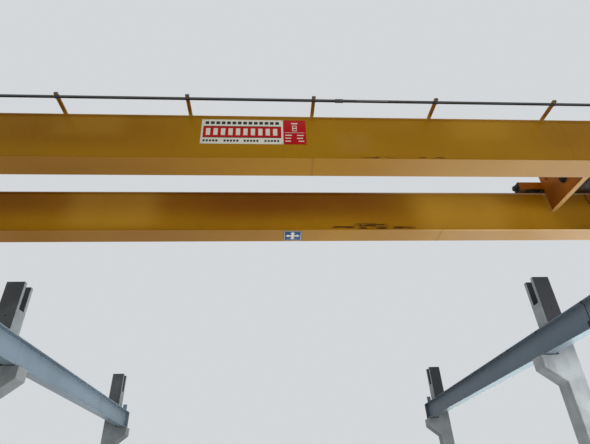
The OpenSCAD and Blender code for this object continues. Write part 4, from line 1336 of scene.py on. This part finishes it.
def addWheel(bm, centre, aim, look, reach):
    tread = look["halfTread"]
    outer = tread + look["rim"]
    half = [
        (-look["halfHub"], look["hub"]), (-look["web"], look["hub"] + 0.006), (-look["web"], look["tread"] - 0.028),
        (-outer, look["tread"] - 0.016), (-outer, look["flange"] - 0.004), (-outer + 0.004, look["flange"]),
        (-tread - 0.006, look["flange"]), (-tread, look["tread"] + 0.004), (-tread + 0.004, look["tread"]),
    ]
    addTurned(bm, centre, aim, half + [(-along, radius) for along, radius in reversed(half)], 48)
    addTurned(bm, Vector(centre) - Vector(aim) * reach, aim, [(0, look["axle"]), (2 * reach, look["axle"])], 24)


# A bearing cap with a raised middle
def addCap(bm, centre, aim, radius, proud):
    addTurned(bm, centre, aim, [
        (0, radius), (proud * 0.35, radius), (proud * 0.45, radius * 0.96), (proud * 0.45, radius * 0.62),
        (proud * 0.92, radius * 0.56), (proud, radius * 0.48), (proud, 0),
    ], 36)


def addBuffer(bm, centre, aim, radius, length):
    addTurned(bm, centre, aim, [
        (0, radius * 0.9), (0, radius), (length * 0.22, radius), (length * 0.30, radius * 0.86),
        (length * 0.52, radius * 0.86), (length * 0.60, radius * 0.98), (length * 0.88, radius * 0.98),
        (length, radius * 0.80), (length, 0),
    ], 36)


def makeCarriages():
    look, size = carriageLook, wheelLooks["bridge"]
    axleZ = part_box("bridge_wheels_left")[0].z + size["flange"]
    lip = look["lip"]
    buffers, plates = bmesh.new(), bmesh.new()
    for side, name in ((-1, "left"), (1, "right")):
        low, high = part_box("end_carriage_" + name)
        middle = (low.x + high.x) / 2
        wheels, caps = bmesh.new(), bmesh.new()
        for way in (-1, 1):
            y = bridgeY + way * look["wheelStep"]
            addWheel(wheels, (middle, y, axleZ), (1, 0, 0), size, (high.x - low.x) / 2)
            for out, face in ((-1, low.x), (1, high.x)):
                if (out, way) != (-side, 1):          # there the drive sits on the axle
                    addCap(caps, (face, y, axleZ), (out, 0, 0), look["capRadius"], look["capProud"])
                    boltRing("cover", "bridge", (face + out * 0.008, y, axleZ), (out, 0, 0),
                             look["capRadius"] * 0.80, 6)
            end = bridgeY + way * look["length"]
            addBlock(plates, (low.x - lip, high.x + lip), (end - way * 0.016, end + way * 0.002),
                     (low.z - lip, high.z + lip))
            addBuffer(buffers, (middle, end, look["bufferHeight"]), (0, way, 0), *look["buffer"])
            boltAt("machine", "bridge", (0, way, 0), (low.x + 0.03, high.x - 0.03), end + way * 0.002,
                   (low.z + 0.04, high.z - 0.04))
            # Rail sweep in front of the wheel
            sweep = end - way * 0.05, end - way * 0.035
            addBlock(plates, around(middle, 0.05), sweep, (railTop + 0.012, low.z + 0.02))
            for x in (middle - 0.085, middle + 0.045):
                addBlock(plates, (x, x + 0.04), sweep, (railTop - 0.02, low.z + 0.02))
        for share in look["lidPlaces"]:
            y = bridgeY + share * look["length"]
            addBlock(plates, (low.x + 0.035, high.x - 0.035), around(y, 0.16), (high.z - 0.002, high.z + 0.006))
            boltAt("cover", "bridge", (0, 0, 1), around(middle, 0.065), around(y, 0.13), high.z + 0.006)
        finishPiece("bridgeWheels" + name.title(), wheels, "wheelIron", "bridge", "bridge_wheels_" + name, 0.0015)
        finishPiece("axleCaps" + name.title(), caps, "cranePaint", "bridge", bevel=0.001)
    finishPiece("carriagePlates", plates, "cranePaint", "bridge", bevel=0.002)
    finishPiece("bridgeBuffers", buffers, "rubber", "bridge", "bridge_buffers", 0.003)


# The body and terminal box of a finned motor that starts at centre, and dark strips painted as the shade in the
# slots of its fan cover
def addMotor(bm, slots, centre, aim, radius, length, fanShare=0.22):
    body = length * (1 - fanShare)
    addTurned(bm, centre, aim, [
        (0, radius * 0.96), (0.012, radius), (0.022, radius), (0.026, radius * 0.80), (body, radius * 0.80),
        (body, radius * 0.985), (length - 0.016, radius * 0.985), (length - 0.004, radius * 0.90),
        (length, radius * 0.72), (length, 0),
    ], 44)
    centre, aim, up = Vector(centre), Vector(aim), Vector((0, 0, 1))
    across = aim.cross(up)
    for i in range(-4, 5):
        out = i * radius * 0.145
        reach = math.sqrt((radius * 0.66) ** 2 - out ** 2)
        addLeaningBlock(slots, centre + aim * (length - 0.0005) + across * out, across * radius * 0.035,
                        up * reach, aim * 0.0025)
    box = centre + aim * length * 0.42 + up * radius * 0.80
    tall, wide, long = radius * 0.42, radius * 0.62, length * 0.17
    addLeaningBlock(bm, box, aim * long, across * wide, up * tall)
    addLeaningBlock(bm, box + up * tall, aim * (long + 0.004), across * (wide + 0.004), up * 0.008)
    return {
        "Fin Count": 30, "Ring Radius": radius * 0.78, "Fin Height": radius * 0.19, "Fin Thickness": 0.004,
        "Fin Length": body - 0.03, "Fin Start": 0.026,
    }


# A cast housing with round corners, a split flange and ribs, along one axis
def addGearbox(bm, middle, size, corner, axis, ribs, proud=0.010):
    order = {"x": (1, 2, 0), "y": (0, 2, 1)}[axis]
    a, b, c = (middle[k] for k in order)
    width, height, depth = (size[k] for k in order)
    addPrism(bm, softRectangle(a, b, width - 2 * proud, height - 2 * proud, corner), axis, *around(c, depth / 2))
    for share, thick in ((-0.5, 0.016), (0.5, 0.016), (0.05, 0.022)):
        flange = around(c + share * (depth - thick), thick / 2)
        addPrism(bm, softRectangle(a, b, width, height, corner), axis, *flange)
    for i in range(ribs):
        left, right = around(a + ((i + 1) / (ribs + 1) - 0.5) * (width - 2 * corner), 0.004)
        foot, head = around(b, height / 2 - 0.002)
        rib = [(left, foot), (right, foot), (right, head), (left, head)]
        addPrism(bm, rib, axis, *around(c, depth / 2 - 0.01))


driveLook = {"gearEnd": 8.125, "gearWidth": 0.22, "corner": 0.035, "motorRadius": 0.09, "boltStep": 0.088}


def makeBridgeDrives():
    look = driveLook
    for side, name in ((-1, "Left"), (1, "Right")):
        node = "bridge_drive_" + name.lower()
        low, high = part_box(node)
        y, z = middleOf(node)[1:]
        gearEnd, carriage, width = look["gearEnd"], girderEnd, look["gearWidth"]
        start, aim = (side * gearEnd, y, z), (-side, 0, 0)
        bm, slots = bmesh.new(), bmesh.new()
        addGearbox(bm, (side * (gearEnd + carriage) / 2, y, z), (carriage - gearEnd, width, width), look["corner"],
                   "x", 3)
        length = gearEnd - min(abs(low.x), abs(high.x))
        fins = addMotor(bm, slots, start, aim, look["motorRadius"], length)
        finishPiece("bridgeDrive" + name, bm, "motorPaint", "bridge", node, 0.003)
        finishPiece("bridgeDriveSlots" + name, slots, "stripeBlack", "bridge")
        grow("bridgeDriveFins" + name, "fins", "bridge", fins, "motorPaint", [(start, aim)])
        boltAt("cover", "bridge", aim, start[0], around(y, look["boltStep"]), around(z, look["boltStep"]))


makeCarriages()
makeBridgeDrives()
print("carriages")


# Trolley: frame details, wheels, buffers and travel drive
drumLow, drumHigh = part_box("hoist_drum")
drumY, drumZ = middleOf("hoist_drum")[1:]
trolleyX, wheelZ = middleOf("trolley_wheels")[0], middleOf("trolley_wheels")[2]
trolleyLook = {
    "wheelStep": 0.85, "capRadius": 0.044, "capProud": 0.016, "buffer": (0.0548, 0.07), "boltStep": 0.070,
    "motorLift": 0.13, "motor": (0.07, 0.26), "driveThickness": 0.12, "driveWidth": 0.17,
    "plateWebHalf": 0.0075, "ribPlaces": (-0.52, 0.02, 0.56), "ribReach": 0.036, "ribBase": 6.80,
    "beadRadius": 0.006, "shaft": 0.0200, "coupling": 0.034,
}


def makeTrolleyFrame():
    look, size = trolleyLook, wheelLooks["trolley"]
    wheels, caps, buffers, plates, ends = (bmesh.new() for piece in range(5))
    for name, outer in (("near", -1), ("far", 1)):
        low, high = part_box("trolley_side_" + name)
        half = (high.y - low.y) / 2
        axisY, bufferZ = middleOf("trolley_side_" + name)[1:]
        for way in (-1, 1):
            x = trolleyX + way * look["wheelStep"]
            addWheel(wheels, (x, axisY, wheelZ), (0, 1, 0), size, half)
            for face in (-1, 1):
                if (face, way) != (-outer, 1):        # there the cross shaft comes out
                    y = axisY + face * half
                    addCap(caps, (x, y, wheelZ), (0, face, 0), look["capRadius"], look["capProud"])
                    boltRing("rivet", "trolley", (x, y + face * 0.006, wheelZ), (0, face, 0),
                             look["capRadius"] * 0.8, 6)
            # Black plates over the ends of the side frames stand for the shade there: painted shade
            end = trolleyX + way * (high.x - low.x) / 2
            addBlock(ends, (end - way * 0.008, end + way * 0.001), around(axisY, half + 0.001),
                     (low.z - 0.001, high.z + 0.001))
            addBuffer(buffers, (end, axisY, bufferZ), (way, 0, 0), *look["buffer"])
            boltAt("cover", "trolley", (way, 0, 0), end + way * 0.001, around(axisY, look["boltStep"]),
                   around(bufferZ, look["boltStep"]))
        # Lids over the wheels
        for x in around(trolleyX, look["wheelStep"]):
            addBlock(plates, around(x, 0.15), around(axisY, half - 0.02), (high.z - 0.001, high.z + 0.006))
            boltAt("cover", "trolley", (0, 0, 1), around(x, 0.13), around(axisY, 0.055), high.z + 0.006)
    finishPiece("trolleyWheels", wheels, "wheelIron", "trolley", "trolley_wheels", 0.0012)
    finishPiece("trolleyCaps", caps, "trolleyPaint", "trolley", bevel=0.001)
    finishPiece("trolleyPlates", plates, "trolleyPaint", "trolley", bevel=0.002)
    finishPiece("trolleyEndShadePlates", ends, "stripeBlack", "trolley", bevel=0.001)
    finishPiece("trolleyBuffers", buffers, "rubber", "trolley", "trolley_buffers", 0.002)


# Ribs and weld beads on the two deep cross plates
def makeCrossPlates():
    look = trolleyLook
    sideLow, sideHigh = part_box("trolley_side_near")
    half, bead = look["plateWebHalf"], look["beadRadius"]
    bm = bmesh.new()
    for side, name in ((-1, "left"), (1, "right")):
        low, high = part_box("trolley_cross_" + name)
        web = (low.x + high.x) / 2
        face = web + side * half
        for y in (bridgeY + place for place in look["ribPlaces"]):
            if side > 0 or abs(y - drumY) >= 0.2:     # the drum's bearing is in the way
                addBlock(bm, (face, face + side * look["ribReach"]), around(y, 0.005),
                         (look["ribBase"], high.z - 0.012))
        for y in (low.y + 0.004, high.y - 0.004):
            addSweep(bm, [(face, y, z) for z in (sideLow.z, sideHigh.z)], bead, 6)
        for x, z in product(around(web, half), (low.z + 0.012, high.z - 0.012)):
            addSweep(bm, [(x, y, z) for y in (low.y + 0.02, high.y - 0.02)], bead, 6)
    finishPiece("crossPlateRibs", bm, "trolleyPaint", "trolley", bevel=0.0015)


# Travel drive of the trolley: gearbox on the cross shaft, motor beside it
def makeTrolleyDrive():
    look = trolleyLook
    low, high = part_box("trolley_drive")
    x, z = middleOf("trolley_drive")[0], middleOf("trolley_drive")[2]
    near, thick = high.y - look["driveThickness"], look["driveThickness"]
    bm, slots = bmesh.new(), bmesh.new()
    addGearbox(bm, (x, near + thick / 2, z), (look["driveWidth"], thick, high.z - low.z), 0.03, "y", 2, 0.006)
    start, aim = (x, near, wheelZ + look["motorLift"]), (0, -1, 0)
    fins = addMotor(bm, slots, start, aim, *look["motor"])
    shaft, coupling, length = look["shaft"], look["coupling"], high.y - low.y
    addTurned(bm, (x, low.y, wheelZ), (0, 1, 0), [
        (0, shaft), (0.06, shaft), (0.06, coupling), (0.12, coupling), (0.12, shaft), (length - 0.22, shaft),
        (length - 0.22, coupling), (length - 0.15, coupling), (length - 0.15, shaft), (length, shaft),
    ], 28)
    finishPiece("trolleyDrive", bm, "motorPaint", "trolley", "trolley_drive", 0.002)
    finishPiece("trolleyDriveShadeSlots", slots, "stripeBlack", "trolley")
    grow("trolleyDriveFins", "fins", "trolley", fins, "motorPaint", [(start, aim)])
    boltAt("cover", "trolley", aim, around(x, 0.065), near, (low.z + 0.02, high.z - 0.02))


# Hoist: grooved drum with its rope, bearing, ribbed gearbox, motor and brake
hoistLook = {
    "drumRadius": 0.210, "groove": 0.003, "pitch": 0.016, "ropeRadius": 0.0065, "barrelHalf": 0.5825,
    "flangeRadius": 0.240, "flangeThickness": 0.020, "shaftRadius": 0.045, "plain": 0.04,
    "leads": 0.15,                    # ropes leave the drum this far from its middle
    "wound": 20,                      # turns on each side
    "clampTurns": (0.5, 1.1, 1.7), "clamp": ((0, 0.020), (0.014, 0.020), (0.018, 0.015)),
    "motorRadius": 0.13, "motorLength": 0.46, "motorFins": 40,
}


def makeDrum():
    look = hoistLook
    half, barrel, pitch, groove = look["barrelHalf"], look["drumRadius"], look["pitch"], look["groove"]
    shaft, rim, inner = look["shaftRadius"], look["flangeRadius"], look["barrelHalf"] - look["flangeThickness"]
    profile = [(drumLow.x - trolleyX, shaft), (-half, shaft), (-half, rim), (-inner, rim), (-inner, barrel)]
    count = int((2 * inner - look["plain"]) / pitch)
    start = -count * pitch / 2
    for i in range(count):
        for share, depth in ((0, 0), (0.25, 0.7), (0.5, 1), (0.75, 0.7)):
            profile.append((start + (i + share) * pitch, barrel - groove * depth))
    profile += [(-start, barrel), (inner, barrel), (inner, rim), (half, rim), (half, shaft),
                (drumHigh.x - trolleyX, shaft)]
    bm = bmesh.new()
    addTurned(bm, (trolleyX, drumY, drumZ), (1, 0, 0), profile, 56)
    finishPiece("hoistDrum", bm, "drumSteel", "trolley", "hoist_drum")
    for side, name in ((-1, "Left"), (1, "Right")):
        first = trolleyX + side * (look["leads"] + look["wound"] * pitch)
        grow("drumRope" + name, "coil", "trolley", {
            "Turns": float(look["wound"]), "Pitch": pitch, "Coil Radius": barrel + look["ropeRadius"] - groove,
            "Rope Radius": look["ropeRadius"],
        }, "ropeSteel", [((first, drumY, drumZ), (-side, 0, 0))])
        # Clamp plates that hold the rope's end on the barrel
        bm = bmesh.new()
        for turn in look["clampTurns"]:
            up = Matrix.Rotation(turn, 3, "X") @ Vector((0, 0, 1))
            centre = Vector((first + side * 0.03, drumY, drumZ)) + up * (barrel - 0.002)
            addTurned(bm, centre, up, look["clamp"], 6)
        finishPiece("ropeClamps" + name, bm, "zinc", "trolley", bevel=0.001)


def makeDrumBearing():
    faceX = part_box("drum_bearing")[1].x
    bm = bmesh.new()
    addTurned(bm, (faceX, drumY, drumZ), (-1, 0, 0), [
        (0, 0.090), (0.012, 0.090), (0.014, 0.066), (0.052, 0.060), (0.058, 0.055), (0.062, 0.048),
        (0.070, 0.046), (0.070, 0),
    ], 44)
    nipple = [(0, 0.008), (0.012, 0.008), (0.018, 0.004)]
    addTurned(bm, (faceX - 0.030, drumY, drumZ + 0.060), (0, 0, 1), nipple, 10)
    finishPiece("drumBearing", bm, "stripeBlack", "trolley", "drum_bearing", 0.002)
    boltRing("cover", "trolley", (faceX - 0.012, drumY, drumZ), (-1, 0, 0), 0.078, 6, math.pi / 6)


def makeHoistDrive():
    look = hoistLook
    low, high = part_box("hoist_gearbox")
    middle = (low + high) / 2
    bm, slots = bmesh.new(), bmesh.new()
    addGearbox(bm, middle, high - low, 0.05, "x", 5, 0.014)
    # Flat cover, filler and drain
    addPrism(bm, softRectangle(middle.y, middle.z, 0.30, 0.26, 0.05), "x", high.x - 0.006, high.x + 0.012)
    filler = [(0, 0.020), (0.020, 0.020), (0.026, 0.012), (0.040, 0.012)]
    addTurned(bm, (middle.x, low.y + 0.07, high.z - 0.008), (0, 0, 1), filler, 12)
    addTurned(bm, (middle.x, low.y + 0.10, low.z + 0.004), (0, 0, -1), [(0, 0.016), (0.012, 0.016)], 6)
    y, z = middleOf("hoist_motor")[1:]
    start, aim = (high.x, y, z), (1, 0, 0)
    addTurned(bm, start, aim, [(0, 0.150), (0.016, 0.150), (0.024, 0.135), (0.024, 0)], 44)
    fins = addMotor(bm, slots, start, aim, look["motorRadius"], look["motorLength"], 0.05)
    finishPiece("hoistGear", bm, "motorPaint", "trolley", "hoist_gearbox", 0.0035)
    bm = bmesh.new()
    brakeX = high.x + look["motorLength"]
    addTurned(bm, (brakeX, y, z), aim, [
        (-0.004, 0.100), (0.004, 0.110), (0.018, 0.110), (0.020, 0.104), (0.030, 0.104), (0.032, 0.110),
        (0.092, 0.110), (0.104, 0.098), (0.110, 0.080), (0.110, 0),
    ], 44)
    lever = ((0.025, 0.100), (0.025, 0.135), (0.035, 0.165))
    addSweep(bm, [(brakeX + out, y, z + lift) for out, lift in lever], [0.007, 0.007, 0.009], 8)
    finishPiece("hoistBrake", bm, "motorPaint", "trolley", "hoist_motor", 0.002)
    finishPiece("hoistShadeSlots", slots, "stripeBlack", "trolley")
    fins["Fin Count"] = look["motorFins"]
    grow("hoistFins", "fins", "trolley", fins, "motorPaint", [(start, aim)])
    boltAt("machine", "trolley", aim, high.x, around(middle.y, 0.19),
           [middle.z + step for step in (-0.195, -0.07, 0.07, 0.195)])
    boltRing("machine", "trolley", (high.x + 0.016, y, z), aim, 0.141, 8, math.pi / 8)


# Ropes, hook block and hook
blockY = bridgeY - 0.2068             # between the two falls of each rope
reevingLook = {"sheaveAxis": 5.45, "pitchRadius": 0.15, "anchorLow": 6.425, "lay": 0.085, "step": 0.013}


def makeRopes():
    look = reevingLook
    anchor, upY = look["anchorLow"], blockY - look["pitchRadius"]
    lines = []
    for x in around(trolleyX, hoistLook["leads"]):
        bend = arc(blockY, look["sheaveAxis"], look["pitchRadius"], 0, -180, 24)
        lines.append([(x, a, b) for a, b in ((bend[0][0], drumZ), *bend, (upY, anchor - 0.02))])
    sizes = {"Rope Radius": hoistLook["ropeRadius"], "Strands": 6, "Lay Length": look["lay"], "Step": look["step"]}
    grow("hoistRopes", "rope", "trolley", sizes, "ropeSteel", lines=lines, replaced="hoist_ropes", angle=60)
    bm = bmesh.new()
    for x in around(trolleyX, hoistLook["leads"]):
        addPrism(bm, [
            (x - 0.022, anchor - 0.15), (x + 0.022, anchor - 0.15), (x + 0.040, anchor - 0.02),
            (x + 0.030, anchor), (x - 0.030, anchor), (x - 0.040, anchor - 0.02),
        ], "y", *around(upY, 0.024))
        addTurned(bm, (x, upY - 0.034, anchor - 0.035), (0, 1, 0), [(0, 0.013), (0.068, 0.013)], 16)
    finishPiece("wedgeSockets", bm, "wheelIron", "trolley", bevel=0.004)
    low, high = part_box("rope_anchor")
    bm = bmesh.new()
    addBlock(bm, *zip(low, high))
    for end, way in ((low.x, 1), (high.x, -1)):
        face = end + way * 0.012
        addBlock(bm, (end, face), (low.y - 0.05, high.y + 0.05), (low.z - 0.04, high.z + 0.04))
        boltAt("cover", "trolley", (way, 0, 0), face, (low.y - 0.032, high.y + 0.032),
               (low.z - 0.022, high.z + 0.022))
    finishPiece("ropeAnchor", bm, "trolleyPaint", "trolley", "rope_anchor", 0.006)


blockLook = {
    "cheekHalf": 0.1783, "cheekThickness": 0.012, "headRadius": 0.12, "rimRadius": 0.1690, "sheaveHalf": 0.022,
    "crossHalf": 0.055, "foot": 0.075, "bandThickness": 0.005, "bands": ((20, 78), (102, 160)),
    "nut": ((0, 0.040), (0.008, 0.040), (0.008, 0.030), (0.020, 0.030), (0.024, 0.024)),
    "pin": ((0, 0.030), (0.010, 0.030), (0.012, 0.022)),
    "collar": ((0, 0.060), (0.012, 0.060), (0.012, 0.048), (0.038, 0.048), (0.042, 0.044)),
    "axle": 0.032, "spacer": 0.010, "spacerStep": 0.10, "spacerZ": 5.315,
}


def makeHookBlock():
    look = blockLook
    y, axis, cheekHalf = blockY, reevingLook["sheaveAxis"], look["cheekHalf"]
    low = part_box("hook_block")[0]
    crossTop = low.z + 2 * look["crossHalf"]
    rim, half, foot = look["rimRadius"], look["sheaveHalf"], look["foot"]
    sheave = [
        (-0.030, 0.045), (-0.008, 0.055), (-0.008, 0.120), (0.003 - half, 0.138), (-half, 0.144),
        (-half, rim - 0.003), (0.003 - half, rim), (-0.012, rim), (-0.007, 0.1470), (-0.004, 0.1437),
    ]
    sheave += [(-along, radius) for along, radius in reversed(sheave)]
    # Round head, straight sides down to the crosshead
    cheek = arc(y, axis, look["headRadius"], -14, 194, 24)
    cheek += [(y - foot, crossTop - 0.02), (y - foot, low.z), (y + foot, low.z), (y + foot, crossTop - 0.02)]
    sheaves, cheeks, steel, cross = (bmesh.new() for piece in range(4))
    for side in (-1, 1):
        x = trolleyX + side * hoistLook["leads"]
        addTurned(sheaves, (x, y, axis), (1, 0, 0), sheave, 56)
        cheekX = trolleyX + side * cheekHalf
        addPrism(cheeks, cheek, "x", *around(cheekX, look["cheekThickness"] / 2))
        # Guard bands around the sheave, bolted to the cheek
        for start, end in look["bands"]:
            band = arc(y, axis, rim + 0.002, start, end, 8)
            band += arc(y, axis, rim + 0.002 - look["bandThickness"], start, end, 8)[::-1]
            addPrism(cheeks, band, "x", cheekX, x - side * 0.034)
        face = cheekX + side * look["cheekThickness"] / 2
        addTurned(steel, (face, y, axis), (side, 0, 0), look["nut"], 6 if side > 0 else 24)
        addTurned(steel, (face, y, low.z + look["crossHalf"]), (side, 0, 0), look["pin"], 24)
        for step in (-0.055, 0.055):
            boltAt("machine", "trolley", (side, 0, 0), face, y + step, low.z + 0.028)
            boltAt("machine", "trolley", (side, 0, 0), face, y + step * 1.55, axis + 0.052)
    start, length = trolleyX - cheekHalf, 2 * cheekHalf
    addTurned(steel, (start, y, axis), (1, 0, 0), [(0, look["axle"]), (length, look["axle"])], 24)
    for spacerY in around(y, look["spacerStep"]):
        addTurned(steel, (start, spacerY, look["spacerZ"]), (1, 0, 0),
                  [(0, look["spacer"]), (length, look["spacer"])], 12)
    addBlock(cross, around(trolleyX, cheekHalf), around(y, look["crossHalf"]), (low.z, crossTop))
    addTurned(cross, (trolleyX, y, crossTop - 0.004), (0, 0, 1), look["collar"], 6)
    finishPiece("blockSheaves", sheaves, "wheelIron", "trolley")
    finishPiece("blockCheeks", cheeks, "hazardPaint", "trolley", "hook_block", 0.0025)
    finishPiece("blockSteel", steel, "drumSteel", "trolley", bevel=0.001)
    finishPiece("blockCross", cross, "trolleyPaint", "trolley", bevel=0.006)


# The hook's bowl is round about its middle; its shank and tip go on from there
hookLook = {
    "bowlRadius": 0.095, "bowlHeight": 4.9408, "shankRadius": 0.0308, "flat": 0.88,
    "tip": ((-0.113, 0.078, 0.0085), (-0.1055, 0.045, 0.0112)),    # (x, z, half thickness) from the middle
    "bowl": (                                                      # (angle, half thickness)
        (176, 0.0130), (184, 0.0170), (196, 0.0205), (210, 0.0238), (226, 0.0268), (244, 0.0292), (262, 0.0306),
        (280, 0.0310), (300, 0.0310), (320, 0.0308), (340, 0.0302), (0, 0.0292), (20, 0.0280), (38, 0.0268),
        (54, 0.0262), (66, 0.0262),
    ),
    "neck": ((0.026, 0.0975, 0.0268), (0.012, 0.112, 0.0280), (0.003, 0.128, 0.0296), (0, 0.146, 0.0308)),
    "collar": ((0, 0.052), (0.010, 0.052), (0.014, 0.044), (0.024, 0.040)),
    "latchRoot": (-0.020, 0.128), "latchTip": (-0.108, 0.066),
}


def makeHook():
    look = hookLook
    y, top = middleOf("hook")[1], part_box("hook")[1].z
    bowlZ, bowlRadius = look["bowlHeight"], look["bowlRadius"]
    path = list(look["tip"])
    for angle, radius in look["bowl"]:
        path.append((*arc(0, 0, bowlRadius, angle, angle, 1)[0], radius))
    path += [*look["neck"], (0, top + 0.01 - bowlZ, look["shankRadius"])]
    bm = bmesh.new()
    addSweep(bm, [(trolleyX + x, y, bowlZ + z) for x, z, radius in path], [radius for x, z, radius in path], 20,
             look["flat"])
    finishPiece("hook", bm, "hookPaint", "trolley", "hook", angle=60)
    # Nut collar under the crosshead, latch with its cheeks, tongue and pin
    bm = bmesh.new()
    addTurned(bm, (trolleyX, y, top), (0, 0, -1), look["collar"], 32)
    rootX, rootZ = trolleyX + look["latchRoot"][0], bowlZ + look["latchRoot"][1]
    tipX, tipZ = trolleyX + look["latchTip"][0], bowlZ + look["latchTip"][1]
    cheek = [(rootX + 0.014, rootZ + 0.006), (rootX - 0.004, rootZ + 0.016), (tipX - 0.002, tipZ + 0.012),
             (tipX + 0.002, tipZ), (rootX - 0.006, rootZ - 0.014)]
    tongue = [(rootX - 0.004, rootZ + 0.016), (rootX - 0.006, rootZ + 0.012), (tipX, tipZ + 0.008),
              (tipX - 0.002, tipZ + 0.012)]
    for outline, start, end in ((cheek, -0.020, -0.017), (cheek, 0.017, 0.020), (tongue, -0.020, 0.020)):
        addPrism(bm, outline, "y", y + start, y + end)
    addTurned(bm, (rootX + 0.004, y - 0.034, rootZ), (0, 1, 0), [(0, 0.006), (0.068, 0.006)], 14)
    finishPiece("hookLatch", bm, "zinc", "trolley", bevel=0.0008)


makeTrolleyFrame()
makeCrossPlates()
makeTrolleyDrive()
makeDrum()
makeDrumBearing()
makeHoistDrive()
makeRopes()
makeHookBlock()
makeHook()
print("trolley")
makeBolts()
print("bolts", sum(len(spots) for spots in boltSpots.values()))


def setFloor():
    half = lightLook["floorSize"] / 2
    mesh = bpy.data.meshes.new("floor")
    mesh.from_pydata([(-half, -half, 0), (half, -half, 0), (half, half, 0), (-half, half, 0)], [], [(0, 1, 2, 3)])
    mesh.materials.append(floorMaterial("floor"))
    newObject("floor", mesh)


setCamera()
setLight()
setFloor()
dressNodes()
bpy.context.scene.view_settings.view_transform = "Standard"
